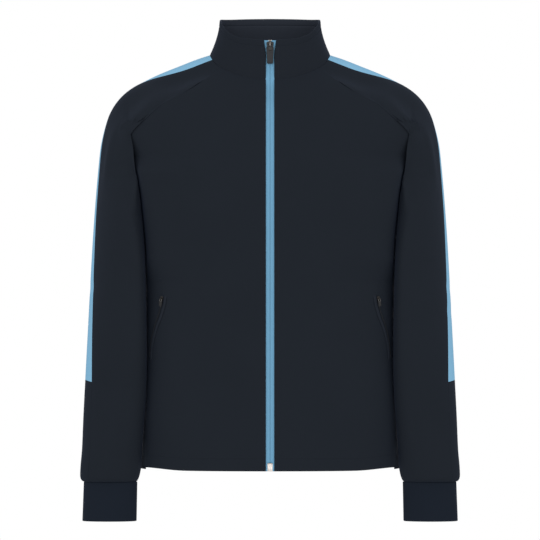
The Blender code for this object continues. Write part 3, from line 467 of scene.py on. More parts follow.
def rib_group():
    """Fine ribs of a knit or weave as bump, from the cloth's own lengths."""
    tree = bpy.data.node_groups.new("ribs", "ShaderNodeTree")
    socket(tree, "Float", "Across", value=200.0)
    socket(tree, "Float", "Along", value=150.0)
    socket(tree, "Float", "Strength", value=0.2)
    socket(tree, "Float", "Height", value=0.0002)
    socket(tree, "Vector", "Normal", "OUTPUT")
    given, out = tree.nodes.new("NodeGroupInput"), tree.nodes.new("NodeGroupOutput")
    place = add_node(tree, "TexCoord").outputs["UV"]
    waves = []
    for direction, rate in (("X", "Across"), ("Y", "Along")):
        waves.append(add_node(tree, "TexWave", {"Vector": place, "Scale": given.outputs[rate],
                                                "Distortion": 0.6, "Detail": 1.0},
                              wave_type="BANDS", bands_direction=direction).outputs["Fac"])
    knit = add_node(tree, "Math", {0: waves[0], 1: waves[1]}, operation="MULTIPLY").outputs[0]
    bump = add_node(tree, "Bump", {"Height": knit, "Strength": given.outputs["Strength"],
                                   "Distance": given.outputs["Height"]})
    tree.links.new(bump.outputs["Normal"], out.inputs["Normal"])
    return tree


MOTTLE, RIBS = mottle_group(), rib_group()


def uneven_finish(name, colour, patches, yarns, **plain):
    """A material of uneven colour, with plain values on its shader's own sockets."""
    material = bpy.data.materials.new(name)
    material.use_nodes = True
    material.diffuse_color = (*colour, 1)
    tree = material.node_tree
    shader = tree.nodes["Principled BSDF"]
    tone = add_node(tree, "Group", {"Colour": (*colour, 1), "Patches": patches, "Yarns": yarns},
                    node_tree=MOTTLE)
    tree.links.new(tone.outputs["Colour"], shader.inputs["Base Color"])
    for key, value in plain.items():
        shader.inputs[key.replace("_", " ")].default_value = value
    return material, tree, shader


def cloth_finish(name, colour, across, along, strength, height, patches=0.12, yarns=0.25):
    """Knitted or woven cloth: uneven tone, ribs at their real size and a soft sheen."""
    material, tree, shader = uneven_finish(
        name, colour, patches, yarns, Roughness=0.9, Specular_IOR_Level=0.04,
        Sheen_Weight=0.05, Sheen_Roughness=0.5, Sheen_Tint=SHEEN_TINT)
    ribs = add_node(tree, "Group", {"Across": WAVE_RATE / across, "Along": WAVE_RATE / along,
                                    "Strength": strength, "Height": height}, node_tree=RIBS)
    tree.links.new(ribs.outputs["Normal"], shader.inputs["Normal"])
    return material


def metal_finish(name, colour, roughness, metallic=1.0):
    """Cast metal: slightly uneven tone, soft grain and worn gloss."""
    material, tree, shader = uneven_finish(name, colour, 0.2, 0.2, Metallic=metallic)
    place = add_node(tree, "TexCoord").outputs["Object"]
    grain = add_node(tree, "TexNoise", {"Vector": place, "Scale": 700.0, "Detail": 3.0}).outputs["Fac"]
    gloss = add_node(tree, "MapRange", {"Value": grain, "To Min": roughness * 0.8,
                                        "To Max": roughness * 1.25})
    tree.links.new(gloss.outputs["Result"], shader.inputs["Roughness"])
    bump = add_node(tree, "Bump", {"Height": grain, "Strength": 0.15, "Distance": 0.08 * MM})
    tree.links.new(bump.outputs["Normal"], shader.inputs["Normal"])
    return material


NAVY = cloth_finish("navy_knit", (0.0112, 0.0141, 0.0190), 1.3 * MM, 1.0 * MM, 0.25, 0.2 * MM)
COLLAR_NAVY = cloth_finish("navy_collar", (0.0112, 0.0139, 0.0188), 1.3 * MM, 1.0 * MM,
                           0.25, 0.2 * MM)
# The collar's inside: navy painted lighter than the outside, painted light standing in for light that
# falls into the neck's shade.
COLLAR_INSIDE_PAINTED_LIGHT = cloth_finish("navy_collar_inside_painted_light", (0.0230, 0.0275, 0.0370), 1.1 * MM, 0.9 * MM, 0.3, 0.2 * MM)
# The pocket welt: navy painted lighter, a painted highlight along its raised edge.
WELT_PAINTED_HIGHLIGHT = cloth_finish("navy_welt_painted_highlight", (0.0135, 0.0165, 0.0225), 1.3 * MM, 1.0 * MM, 0.25, 0.2 * MM)
CUFF_NAVY = cloth_finish("navy_cuff", (0.0088, 0.0122, 0.0188), 1.6 * MM, 1.1 * MM,
                         0.35, 0.25 * MM)
STRIPE = cloth_finish("stripe_knit", (0.190, 0.392, 0.560), 1.3 * MM, 1.0 * MM, 0.3,
                      0.2 * MM, yarns=0.1, patches=0.06)
TAPE = cloth_finish("zip_tape", (0.131, 0.300, 0.449), 0.9 * MM, 0.7 * MM, 0.5, 0.25 * MM,
                    yarns=0.12, patches=0.06)
THREAD = cloth_finish("thread", (0.0190, 0.0230, 0.0310), 0.5 * MM, 0.4 * MM, 0.3, 0.1 * MM)
DARK_COIL = metal_finish("pocket_zip", (0.003, 0.0035, 0.005), 0.5, metallic=0.0)
GUNMETAL = metal_finish("gunmetal", (0.008, 0.0065, 0.0055), 0.45, metallic=0.1)
DARK_PULL = metal_finish("dark_pull", (0.003, 0.003, 0.004), 0.6, metallic=0.0)
GREY = metal_finish("grey_pull", (0.0095, 0.0105, 0.0135), 0.75, metallic=0.0)
SILVER = metal_finish("silver_metal", (0.42, 0.40, 0.38), 0.3)
BOX_SILVER = metal_finish("box_silver", (0.62, 0.57, 0.53), 0.35)
# Dark worn metal for the main pull's ring; on the pocket pulls' edge plates the same lighter colour is
# a painted highlight along the edge.
WORN_AND_PAINTED_HIGHLIGHT = metal_finish("worn_metal_and_painted_highlight", (0.030, 0.030, 0.032), 0.5, metallic=0.3)
POCKET_SILVER = metal_finish("pocket_silver", (0.16, 0.155, 0.15), 0.4, metallic=0.8)


# ---------------------------------------------------------------- cloth pieces

def height(points):
    return -points[..., 2]


def from_middle(points):
    return np.abs(points[..., 0])


def to_left(points):
    return points[..., 0]


def to_back(points):
    return points[..., 1]


def out_of(x, y):
    """The way out from an upright axis."""
    def outward(points):
        out = points - np.array([x, y, 0])
        out[:, 2] = 0
        return out
    return outward


TRUNK_AXIS, ARM_AXIS = (0, 12 * MM), (250 * MM, -20 * MM)
from_trunk = out_of(*TRUNK_AXIS)


def panel(node, crossing, outward=from_trunk, thickness=CLOTH, **options):
    walls = turned(read_wall(node, thickness, outward), height, crossing)
    return Cloth(*walls, **options)


panels = {}
for side, sign in SIDES:
    arm = out_of(sign * ARM_AXIS[0], ARM_AXIS[1])
    panels[f"front_{side}"] = panel(f"front_{side}", from_middle, row_grooves=(-HEM_LINE,),
                                    column_grooves=(ZIP_STITCH,))
    panels[f"sleeve_front_{side}"] = panel(f"sleeve_front_{side}", from_middle, arm)
    panels[f"sleeve_back_{side}"] = panel(f"sleeve_back_{side}", from_middle, arm)
    panels[f"stripe_{side}"] = panel(f"stripe_{side}", to_back, arm)
    panels[f"sleeve_strip_{side}"] = panel(f"sleeve_strip_{side}", to_back, arm)
    panels[f"cuff_{side}"] = Cloth(*read_ring(f"cuff_{side}"), ring=True)
panels["back"] = panel("back", to_left, row_grooves=(-HEM_LINE,))
panels["collar"] = panel("collar", to_left, thickness=COLLAR_CLOTH,
                         row_grooves=(COLLAR_STITCH,))

SLEEVE_SEAMS = {"top": PLAIN_SEAM, "bottom": CUFF_SEAM, "first": FLAT_SEAM, "last": FLAT_SEAM}
SEAM_EDGES = {"front": {"top": PLAIN_SEAM, "last": FLAT_SEAM},
              "back": {"top": PLAIN_SEAM, "first": FLAT_SEAM, "last": FLAT_SEAM},
              "sleeve_front": SLEEVE_SEAMS, "sleeve_back": SLEEVE_SEAMS,
              "stripe": {"top": PLAIN_SEAM, "bottom": FLAT_SEAM, "first": FLAT_SEAM,
                         "last": FLAT_SEAM},
              "sleeve_strip": {"top": FLAT_SEAM, "bottom": CUFF_SEAM, "first": FLAT_SEAM,
                               "last": FLAT_SEAM},
              "cuff": {"top": CUFF_SEAM}, "collar": {"bottom": PLAIN_SEAM}}
FREE_EDGES = {"front": ("bottom", "first"), "back": ("bottom",), "cuff": ("bottom",),
              "collar": ("top", "first", "last")}
CLOTH_FINISH = {"stripe": STRIPE, "cuff": CUFF_NAVY, "collar": COLLAR_NAVY}


FOLD_FADE = 0.3                  # share of a fold over which each of its ends fades
FACING_FROM, FACING_RUN = 0.15, 0.35
FOLD_POINTS = 24

# Folds: which way they face, how deep and wide they are, which side of the jacket they
# are on (1 left, -1 right, 0 both), and the points along them, in millimetres: out from
# the middle and up on the front and back, back and up on the sleeves' outer side.
FOLDS = (
    # between chest and arm
    ("front", 2.0, 2.4, 0, ((245, -70), (241, -80), (237, -96), (232, -118))),
    # from the armpit over the chest
    ("front", 0.7, 9.0, 1, ((196, -215), (165, -232), (138, -240))),
    ("front", 0.6, 8.0, -1, ((196, -205), (170, -214), (150, -216))),
    ("front", 0.5, 11.0, 1, ((196, -262), (160, -300), (131, -322))),
    ("front", 0.6, 11.0, -1, ((198, -270), (168, -312), (148, -342))),
    # trunk, below the pockets and above the hem
    ("front", 0.7, 12.0, 1, ((188, -545), (158, -590), (149, -640))),
    ("front", 0.6, 13.0, -1, ((190, -530), (164, -572), (150, -625))),
    ("front", 0.5, 12.0, 1, ((60, -470), (52, -560), (58, -640))),
    ("front", 0.5, 14.0, -1, ((84, -430), (92, -520), (86, -610))),
    # inside of the elbow and the forearm
    ("front", 0.9, 7.0, 1, ((236, -330), (254, -342), (274, -338))),
    ("front", 0.7, 6.0, -1, ((238, -322), (252, -331), (266, -330))),
    ("front", 0.8, 8.0, 1, ((232, -372), (252, -390), (280, -394))),
    ("front", 0.8, 9.0, -1, ((234, -384), (258, -404), (286, -402))),
    ("front", 1.0, 9.0, 0, ((238, -520), (240, -590), (247, -655))),
    ("front", 0.7, 10.0, 1, ((262, -540), (268, -600), (266, -660))),
    ("front", 0.7, 10.0, -1, ((270, -520), (266, -585), (272, -640))),
    ("front", 0.9, 5.0, 0, ((250, -676), (262, -690), (268, -700))),
    ("front", 0.8, 5.0, 0, ((290, -672), (284, -688), (281, -700))),
    # back: armpits, blades, the small of the back and over the hem
    ("back", 1.4, 9.0, 1, ((198, -170), (172, -150), (150, -118))),
    ("back", 1.2, 8.0, -1, ((199, -176), (176, -160), (158, -132))),
    ("back", 1.0, 11.0, 1, ((190, -232), (150, -246), (112, -240))),
    ("back", 1.1, 12.0, -1, ((188, -226), (155, -238), (104, -228))),
    ("back", 1.1, 13.0, 1, ((150, -395), (92, -412), (28, -404))),
    ("back", 1.0, 12.0, -1, ((138, -372), (84, -384), (18, -380))),
    ("back", 1.1, 14.0, -1, ((160, -448), (110, -462), (40, -452))),
    ("back", 0.9, 12.0, 1, ((128, -480), (80, -494), (12, -486))),
    ("back", 0.8, 14.0, 1, ((96, -540), (104, -600), (98, -655))),
    ("back", 0.8, 15.0, -1, ((72, -560), (64, -610), (68, -662))),
    ("back", 1.1, 8.0, 0, ((240, -330), (262, -346), (284, -344))),
    ("back", 1.0, 8.0, 1, ((236, -388), (262, -408), (288, -406))),
    ("back", 0.9, 9.0, -1, ((238, -376), (258, -390), (282, -392))),
    ("back", 0.9, 9.0, 0, ((256, -520), (262, -590), (258, -650))),
    ("back", 1.0, 8.0, 0, ((228, -250), (246, -268), (262, -272))),
    # outer side of the elbow and above the cuff
    ("side", 0.8, 8.0, 0, ((-50, -372), (-28, -384), (-4, -380))),
    ("side", 0.7, 8.0, 1, ((-48, -414), (-30, -424), (-8, -420))),
    ("side", 0.7, 9.0, 0, ((-58, -600), (-50, -640), (-52, -676))),
)


def nearest(flat, line):
    """How far flat points lie from a line, and how far along it each one is nearest."""
    steps = np.linalg.norm(np.diff(line, axis=0), axis=1)
    total, done = steps.sum(), 0.0
    distance, share = np.full(flat.shape[:-1], 1e9), np.zeros(flat.shape[:-1])
    for start, end, step in zip(line[:-1], line[1:], steps):
        run = end - start
        at = np.clip(((flat - start) @ run) / step ** 2, 0, 1)
        away = np.linalg.norm(flat - start - at[..., None] * run, axis=-1)
        closer = away < distance
        distance = np.where(closer, away, distance)
        share = np.where(closer, (done + at * step) / total, share)
        done += step
    return distance, share


def smooth_line(line):
    """A fold's few points as a fine curve."""
    line = np.array(line, float) * MM
    knots = np.concatenate([[0], np.cumsum(np.linalg.norm(np.diff(line, axis=0), axis=1))])
    return bend(knots, line, np.linspace(0, knots[-1], FOLD_POINTS))


def fold_depth(cloth):
    """How far in each point of a cloth goes for the folds."""
    points, normal = cloth.outer, cloth.normals()
    facing = {"front": -normal[..., 1], "back": normal[..., 1],
              "side": np.abs(normal[..., 0])}
    depth = np.zeros(points.shape[:2])
    for way, deep, wide, only, line in FOLDS:
        across = points[..., 1] if way == "side" else np.abs(points[..., 0])
        flat = np.stack([across, points[..., 2]], axis=-1)
        distance, share = nearest(flat, smooth_line(line))
        faded = ease(share / FOLD_FADE) * ease((1 - share) / FOLD_FADE)
        on = ease((facing[way] - FACING_FROM) / FACING_RUN)
        if only:
            on = on * (points[..., 0] * only > 0)
        depth += deep * MM * faded * on * np.exp(-(distance / (wide * MM)) ** 2)
    return depth


# The body's section beside the arm: height, half its width, its front's depth, the power of
# the section as it is, and how much of the squarer form it takes.
SIDE_SECTION = np.array((
    (-400, 0.2084, 0.126, 3.6, 0), (-372, 0.2089, 0.127, 3.6, 0), (-335, 0.2105, 0.129, 3.6, 1),
    (-302, 0.2122, 0.131, 3.6, 1), (-235, 0.2195, 0.134, 3.6, 1), (-190, 0.229, 0.132, 3.4, 1),
    (-165, 0.240, 0.129, 3.2, 0), (-150, 0.248, 0.127, 3.1, 0),
))
SQUARER = 1.6
SIDE_END, SIDE_END_RUN = 0.985, 0.03


def square(cloth):
    """Fill the front's corner beside the arm."""
    x, _, z = np.moveaxis(cloth.outer, -1, 0)
    half, depth, power, share = (np.interp(z, SIDE_SECTION[:, 0] * MM, SIDE_SECTION[:, i])
                                 for i in (1, 2, 3, 4))
    across = np.clip(np.abs(x) / half, 0, SIDE_END)
    was, now = ((1 - across ** p) ** (1 / p) for p in (power, power + SQUARER))
    move = depth * (now - was) * share * ease((SIDE_END - across) / SIDE_END_RUN)
    cloth.shift(1, -move)


# Where the sleeve leans over the body's side: height, how far its edge stands out from the
# middle on the solid and where it is to stand, how far it tucks back, and the depth from
# which it does both.
LEAN = np.array((
    (-700, 217.5, 217.5, 0.0, -36), (-670, 216.5, 214.0, 0.0, -34), (-636, 214.8, 211.0, 0.0, -34),
    (-569, 210.9, 207.0, 0.0, -36), (-500, 207.7, 205.2, 0.0, -40), (-400, 206.7, 206.2, 0.0, -46),
    (-330, 208.5, 208.0, 0.0, -50), (-290, 211.0, 210.5, 3.0, -50), (-260, 216.0, 213.0, 8.0, -50),
    (-230, 229.0, 216.0, 12.0, -50), (-200, 240.0, 220.0, 13.0, -50), (-180, 242.0, 223.5, 13.0, -50),
    (-150, 239.0, 228.3, 11.0, -50), (-120, 233.5, 231.5, 6.0, -50), (-100, 236.0, 236.0, 0.0, -50),
)) * MM
LEAN_RUN = 14 * MM
LEAN_FADE, TUCK_FADE = 45 * MM, 32 * MM
LEAN_CLEAR, LEAN_CLEAR_RISE = 2.4 * MM, 0.15
LEAN_BOTTOM, LEAN_TOP = -300 * MM, -105 * MM
BESIDE_ARM, BESIDE_ARM_BOTTOM = 150 * MM, -360 * MM


def lean(cloth, trunk):
    """Lay the sleeve's inner side over the body's side, clear of it."""
    x, y, z = np.moveaxis(cloth.outer, -1, 0)
    out, sign = np.abs(x), np.sign(x.mean())
    was, goal, tuck, start = (np.interp(z, LEAN[:, 0], LEAN[:, i]) for i in (1, 2, 3, 4))
    forward = ease((start - y) / LEAN_RUN)
    move = np.zeros(cloth.outer.shape)
    move[..., 0] = -sign * (was - goal) * forward * ease(1 - (out - was) / LEAN_FADE)
    move[..., 1] = tuck * forward * ease(1 - (out - was) / TUCK_FADE)
    moved = cloth.outer + move
    hold = np.minimum(LEAN_CLEAR, LEAN_CLEAR_RISE * cloth.edge_distance("top"))
    around = ((np.abs(trunk.outer[..., 0]) > BESIDE_ARM)
              & (trunk.outer[..., 2] > BESIDE_ARM_BOTTOM))
    places, ways = trunk.outer[around], trunk.normals()[around]
    tree = KDTree(len(places))
    for i, place in enumerate(places.tolist()):
        tree.insert(place, i)
    tree.balance()
    pushed = (z > LEAN_BOTTOM) & (z < LEAN_TOP) & (forward > 0) & (out - was < LEAN_FADE)
    for i, j in np.argwhere(pushed):
        _, k, away = tree.find(moved[i, j])
        stands = (moved[i, j] - places[k]) @ ways[k]
        if away < LEAN_FADE / 2 and stands < hold[i, j]:
            moved[i, j] += ways[k] * (hold[i, j] - stands)
    cloth.inner += moved - cloth.outer
    cloth.outer = moved


PART, PART_FROM, PART_REACH, PART_Z, PART_HEIGHT = 1.0 * MM, 7 * MM, 26 * MM, 17 * MM, 10 * MM
COLLAR_GROOVE, COLLAR_DROP, COLLAR_DROP_HEIGHT = 0.9 * MM, 0.45 * MM, 3 * MM
INNER_GROOVE, INNER_GROOVE_WIDTH = 1.0 * MM, 1.0 * MM
HEM_GROOVE, ZIP_GROOVE = 0.8 * MM, 0.25 * MM
HEM_RISE, HEM_RISE_FROM, HEM_RISE_TO, HEM_RISE_HEIGHT = 3.2 * MM, 140 * MM, 205 * MM, 120 * MM
VENT_CURL, VENT_CURL_WIDTH, VENT_CURL_ABOVE, VENT_CURL_FADE = 3.0 * MM, 15 * MM, 10 * MM, 30 * MM


def part_collar(cloth):
    """The collar's front edges stand a little further apart beside the slider."""
    for wall in (cloth.outer, cloth.inner):
        x, z = wall[..., 0], wall[..., 2]
        near = ease(1 - (np.abs(x) - PART_FROM) / PART_REACH) * (wall[..., 1] < 0)
        wall[..., 0] += np.sign(x) * PART * near * np.exp(-((z - PART_Z) / PART_HEIGHT) ** 2)


def shape_collar(cloth):
    """The collar's sewn line on both faces, its parted front and its lower edge let down."""
    cloth.groove("top", COLLAR_STITCH, COLLAR_GROOVE)
    away = (cloth.edge_distance("top") - COLLAR_STITCH) / INNER_GROOVE_WIDTH
    cloth.inner += cloth.normals() * (INNER_GROOVE * np.exp(-away ** 2))[..., None]
    part_collar(cloth)
    low = np.clip(1 - cloth.edge_distance("bottom") / COLLAR_DROP_HEIGHT, 0, 1)
    cloth.shift(2, -COLLAR_DROP * low)


def shape_front(cloth):
    """The hem climbs to the side seam, the vent's corner curls out, the zip is sewn in."""
    along = (np.abs(cloth.outer[..., 0]) - HEM_RISE_FROM) / (HEM_RISE_TO - HEM_RISE_FROM)
    cloth.shift(2, HEM_RISE * ease(along)
                * ease(1 - cloth.edge_distance("bottom") / HEM_RISE_HEIGHT))
    corner = np.clip(1 - cloth.edge_distance("last") / VENT_CURL_WIDTH, 0, 1) ** 2
    above = VENT_HEIGHT + VENT_CURL_ABOVE - cloth.edge_distance("bottom")
    cloth.press(-VENT_CURL * corner * ease(above / VENT_CURL_FADE))
    cloth.groove("first", ZIP_STITCH, ZIP_GROOVE)


pieces = {}


def dress(name, cloth, material, inside_finish=None):
    """A cloth as a piece that takes the place of the CAD node of its name."""
    piece = cloth.piece(f"{name}_cloth", material, inside_finish)
    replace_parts(piece, name)
    pieces[name] = piece


# A front comes before its sleeve, which is laid over it.
for name, cloth in panels.items():
    kind, side = kind_and_side(name)
    if kind == "front":
        square(cloth)
    if kind in ("sleeve_front", "sleeve_back"):
        lean(cloth, panels[f"front_{side}"])
    if kind != "cuff":
        cloth.press(fold_depth(cloth))
    if kind == "front":
        shape_front(cloth)
    if kind in ("front", "back"):
        cloth.groove("bottom", HEM_LINE, HEM_GROOVE)
    if kind == "collar":
        shape_collar(cloth)
    cloth.roll_seams(SEAM_EDGES[kind])
    cloth.round_edges(FREE_EDGES.get(kind, ()))
    # The collar's inside gets the navy painted lighter: painted light in the neck's shade.
    dress(name, cloth, CLOTH_FINISH.get(kind, NAVY),
          COLLAR_INSIDE_PAINTED_LIGHT if kind == "collar" else None)


# ---------------------------------------------------------------- front zip

TAPE_REACH = 16 * MM
TAPE_BOW = ((-36 * MM, 0.1 * MM), (24 * MM, 1.2 * MM))
TAPE_INNER = ((-684.5, 4.3), (-671.0, 4.3), (-670.4, 0.15), (19.0, 0.15), (24.5, 1.4), (29.0, 1.8))
TAPE_COLUMNS = (0.0, 0.25, 0.55, 1.0, 1.7, 2.6, 4.0, 6.0, 8.5, 12.0)
TAPE_ROLL, TAPE_ROLL_WIDTH = 0.35 * MM, 0.6 * MM
TAPE_CELL, SLOPE_STEP = 4 * MM, 1 * MM
SAME_EDGE, SAME_HEIGHT, LINE_CELL = 0.02 * MM, 0.5 * MM, 1 * MM


def front_line():
    """The tape's outer face at its sewn edge: height and depth, from the hem up."""
    points, _ = welded("zip_tape_left")
    edge = points[np.abs(points[:, 0] - TAPE_REACH) < SAME_EDGE]
    pairs = np.linalg.norm(edge[:, None] - edge[None], axis=2)
    outer = [a for a in range(len(edge)) for b in range(len(edge))
             if abs(pairs[a, b] - TAPE_CLOTH) < WELD and edge[a, 1] < edge[b, 1]
             and abs(edge[a, 2] - edge[b, 2]) < SAME_HEIGHT]
    line = edge[sorted(set(outer))]
    line = line[np.argsort(line[:, 2])]
    keep = np.concatenate([[True], np.diff(line[:, 2]) > LINE_CELL])
    return line[keep, 2], line[keep, 1]


LINE_Z, LINE_Y = front_line()


def front_at(z):
    """Depth of the tape's face on the middle line, and the way that it faces."""
    z = np.asarray(z, float)
    low, high = TAPE_BOW
    bow = low[1] + (high[1] - low[1]) * ease((z - low[0]) / (high[0] - low[0]))
    depth = bend(LINE_Z, LINE_Y, np.atleast_1d(z)) - bow
    ahead = bend(LINE_Z, LINE_Y, np.atleast_1d(z + SLOPE_STEP))
    behind = bend(LINE_Z, LINE_Y, np.atleast_1d(z - SLOPE_STEP))
    slope = (ahead - behind) / (2 * SLOPE_STEP)
    outward = unit(np.stack([np.zeros_like(slope), -np.ones_like(slope), slope], axis=-1))
    return depth, bow, outward


def tape(sign):
    """Half of the front zip's tape, its meeting edge turned in a little."""
    heights, inner_edge = (np.array(column) * MM for column in zip(*TAPE_INNER))
    z = np.unique(np.concatenate([np.arange(heights[0], heights[-1], TAPE_CELL), heights]))[::-1]
    depth, bow, outward = front_at(z)
    start = np.interp(z, heights, inner_edge)
    x = np.concatenate([start[:, None] + np.array(TAPE_COLUMNS) * MM
                        * ((TAPE_REACH - start) / TAPE_REACH)[:, None],
                        np.full((len(z), 1), TAPE_REACH)], axis=1)
    roll = TAPE_ROLL * np.exp(-(x - start[:, None]) / TAPE_ROLL_WIDTH)
    y = depth[:, None] + bow[:, None] * (x / TAPE_REACH) ** 2 + roll
    outer = np.stack([sign * x, y, np.broadcast_to(z[:, None], x.shape)], axis=-1)
    inner = outer - outward[:, None] * TAPE_CLOTH
    return Cloth.plain(outer, inner)


for side, sign in SIDES:
    dress(f"zip_tape_{side}", tape(sign), TAPE)


# ---------------------------------------------------------------- sewing

STITCH_PITCH, STITCH_LENGTH, STITCH_WIDTH, STITCH_PROUD = 3.0 * MM, 2.3 * MM, 0.55 * MM, 0.28 * MM
TACK_LENGTH, TACK_PITCH, TACK_STITCH_LENGTH, TACK_STITCH_WIDTH = 7 * MM, 0.55 * MM, 1.0 * MM, 0.5 * MM
POCKET_TACKS = ((180.5 * MM, -367 * MM), (199.0 * MM, -504 * MM))
SEAM_GAP, COLLAR_EDGE_STITCH = 2 * MM, 6 * MM    # from a seam, and from the collar's front edge


def joined(name, points, faces, material, slot):
    """Many small forms as one piece of the jacket."""
    mesh = bpy.data.meshes.new(name)
    mesh.from_pydata(np.asarray(points).tolist(), [], faces)
    mesh.polygons.foreach_set("use_smooth", [True] * len(mesh.polygons))
    mesh.materials.append(material)
    thing = linked(name, mesh)
    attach(thing, "jacket")


SPINDLE = ((-0.5, 0, 0), (-0.3, 1, 0), (-0.3, 0, 1), (-0.3, -1, 0), (-0.3, 0, -1),
           (0.3, 1, 0), (0.3, 0, 1), (0.3, -1, 0), (0.3, 0, -1), (0.5, 0, 0))
SPINDLE_FACES = ((0, 1, 2), (0, 2, 3), (0, 3, 4), (0, 4, 1), (1, 5, 6, 2), (2, 6, 7, 3),
                 (3, 7, 8, 4), (4, 8, 5, 1), (9, 6, 5), (9, 7, 6), (9, 8, 7), (9, 5, 8))


def spindles(places, ways, normals, length, width, proud):
    """Stitches or teeth: each a small spindle lying on the cloth, along its own way."""
    across = unit(np.cross(normals, ways))
    form = np.array(SPINDLE)
    points = (places[:, None] + ways[:, None] * form[None, :, :1] * length
              + across[:, None] * form[None, :, 1:2] * width / 2
              + normals[:, None] * form[None, :, 2:] * proud)
    faces = [tuple(corner + len(SPINDLE) * k for corner in face)
             for k in range(len(places)) for face in SPINDLE_FACES]
    return points.reshape(-1, 3), faces


def gather(parts):
    """Join several lots of points and faces."""
    points, faces, count = [], [], 0
    for some, theirs in parts:
        points.append(some)
        faces += [tuple(corner + count for corner in face) for face in theirs]
        count += len(some)
    return np.concatenate(points), faces


def sewn(cloth, start, end, pitch=STITCH_PITCH, length=STITCH_LENGTH, width=STITCH_WIDTH):
    """A line of stitches on a cloth, between two places given down and across it."""
    start, end = np.array(start), np.array(end)
    count = max(2, int(np.linalg.norm(end - start) / pitch))
    share = (np.arange(count) + 0.5) / count
    line = start + (end - start) * share[:, None]
    step = (end - start) / count * 0.25
    places, normals = cloth.spot(line[:, 0], line[:, 1])
    ahead, _ = cloth.spot(line[:, 0] + step[0], line[:, 1] + step[1])
    return spindles(places, unit(ahead - places), normals, length, width, STITCH_PROUD)


def tack(cloth, down, over):
    """A bar tack: close stitches across the cloth."""
    return sewn(cloth, (down, over - TACK_LENGTH / 2), (down, over + TACK_LENGTH / 2), TACK_PITCH,
                TACK_STITCH_LENGTH, TACK_STITCH_WIDTH)


def find(cloth, x, z):
    """The place on a cloth that lies nearest to a point seen from the front."""
    away = np.hypot(np.abs(cloth.outer[..., 0]) - x, cloth.outer[..., 2] - z)
    i, j = np.unravel_index(np.argmin(away), away.shape)
    return cloth.down[i], cloth.over[j]


def sewn_vent(cloth, over):
    """A side vent's line of stitches up from the hem, and the tack at its top."""
    top = cloth.length - VENT_HEIGHT
    return [sewn(cloth, (top, over), (cloth.length - SEAM_GAP, over)), tack(cloth, top, over)]


def sew():
    """All thread lines of the jacket, one piece on each front, the back and the collar."""
    lines = {}
    for side, _ in SIDES:
        front = panels[f"front_{side}"]
        low, wide = front.length, front.width
        lines[f"front_{side}"] = [
            sewn(front, (low - HEM_LINE, ZIP_STITCH), (low - HEM_LINE, wide - SEAM_GAP)),
            sewn(front, (SEAM_GAP, ZIP_STITCH), (low - SEAM_GAP, ZIP_STITCH)),
            *sewn_vent(front, wide - VENT_STITCH),
            *(tack(front, *find(front, x, z)) for x, z in POCKET_TACKS)]
    back = panels["back"]
    low, wide = back.length, back.width
    lines["back"] = [sewn(back, (low - HEM_LINE, SEAM_GAP), (low - HEM_LINE, wide - SEAM_GAP)),
                     *sewn_vent(back, VENT_STITCH), *sewn_vent(back, wide - VENT_STITCH)]
    collar = panels["collar"]
    first, last = COLLAR_EDGE_STITCH, collar.width - COLLAR_EDGE_STITCH
    lines["collar"] = [sewn(collar, (COLLAR_STITCH, first), (COLLAR_STITCH, last))]
    for over in (first, last):
        lines["collar"].append(sewn(collar, (COLLAR_STITCH, over), (collar.length - SEAM_GAP, over)))
    for name, lots in lines.items():
        joined(f"{name}_thread", *gather(lots), THREAD, "navy_knit")


sew()


# ---------------------------------------------------------------- zip hardware

def place_at(place, across, outward):
    """A place whose X goes across, Y inwards and Z up the zip."""
    inward = -Vector(outward).normalized()
    across = Vector(across)
    across = (across - across.dot(inward) * inward).normalized()
    up = across.cross(inward)
    made = Matrix((across, inward, up)).transposed().to_4x4()
    made.translation = Vector(place)
    return made


SHARP = 0.9                      # radians between two faces that meet in a sharp edge
SMOOTH_BELOW = math.radians(40)
HOOP_STEPS, HOOP_SIDES = 32, 10


def rounded(form, rounding, steps):
    """A form with its sharp edges rounded off."""
    sharp = [edge for edge in form.edges if edge.calc_face_angle(0) > SHARP]
    bmesh.ops.bevel(form, geom=sharp, offset=rounding, segments=steps, profile=0.5, affect="EDGES")
    return form


def plate(outline, near, far, rounding):
    """A flat form, its outline in millimetres, cut between two depths and rounded."""
    form = bmesh.new()
    lower = [form.verts.new((x, far, z)) for x, z in outline]
    form.faces.new(lower)
    top = bmesh.ops.extrude_face_region(form, geom=form.faces[:])["geom"]
    for part in top:
        if isinstance(part, bmesh.types.BMVert):
            part.co.y = near
    bmesh.ops.recalc_face_normals(form, faces=form.faces)
    return rounded(form, rounding, 3) if rounding else form


def finished(name, forms, where, material, body):
    """Join forms made about a place into one piece there."""
    whole = bmesh.new()
    for form in forms:
        held = bpy.data.meshes.new("held")
        form.to_mesh(held)
        whole.from_mesh(held)
        form.free()
        bpy.data.meshes.remove(held)
    bmesh.ops.transform(whole, matrix=where @ Matrix.Scale(MM, 4), verts=whole.verts)
    mesh = bpy.data.meshes.new(name)
    whole.to_mesh(mesh)
    whole.free()
    mesh.materials.append(material)
    mesh.polygons.foreach_set("use_smooth", [True] * len(mesh.polygons))
    thing = linked(name, mesh)
    mesh.set_sharp_from_angle(angle=SMOOTH_BELOW)
    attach(thing, body)
    return thing


def strap(path, width, thickness, rounding):
    """A flat metal strap bent along a line in the Y-Z plane."""
    path = np.array(path, float)
    tangent = unit(np.gradient(path, axis=0))
    side = np.stack([-tangent[:, 1], tangent[:, 0]], axis=1) * thickness / 2
    form = bmesh.new()
    rings = []
    for point, off in zip(path, side):
        rings.append([form.verts.new((x, *(point + off * way)))
                      for x, way in ((-width / 2, -1), (width / 2, -1),
                                     (width / 2, 1), (-width / 2, 1))])
    for first, second in zip(rings[:-1], rings[1:]):
        for k in range(4):
            form.faces.new((first[k], first[(k + 1) % 4], second[(k + 1) % 4], second[k]))
    form.faces.new(rings[0])
    form.faces.new(rings[-1][::-1])
    bmesh.ops.recalc_face_normals(form, faces=form.faces)
    return rounded(form, rounding, 2)


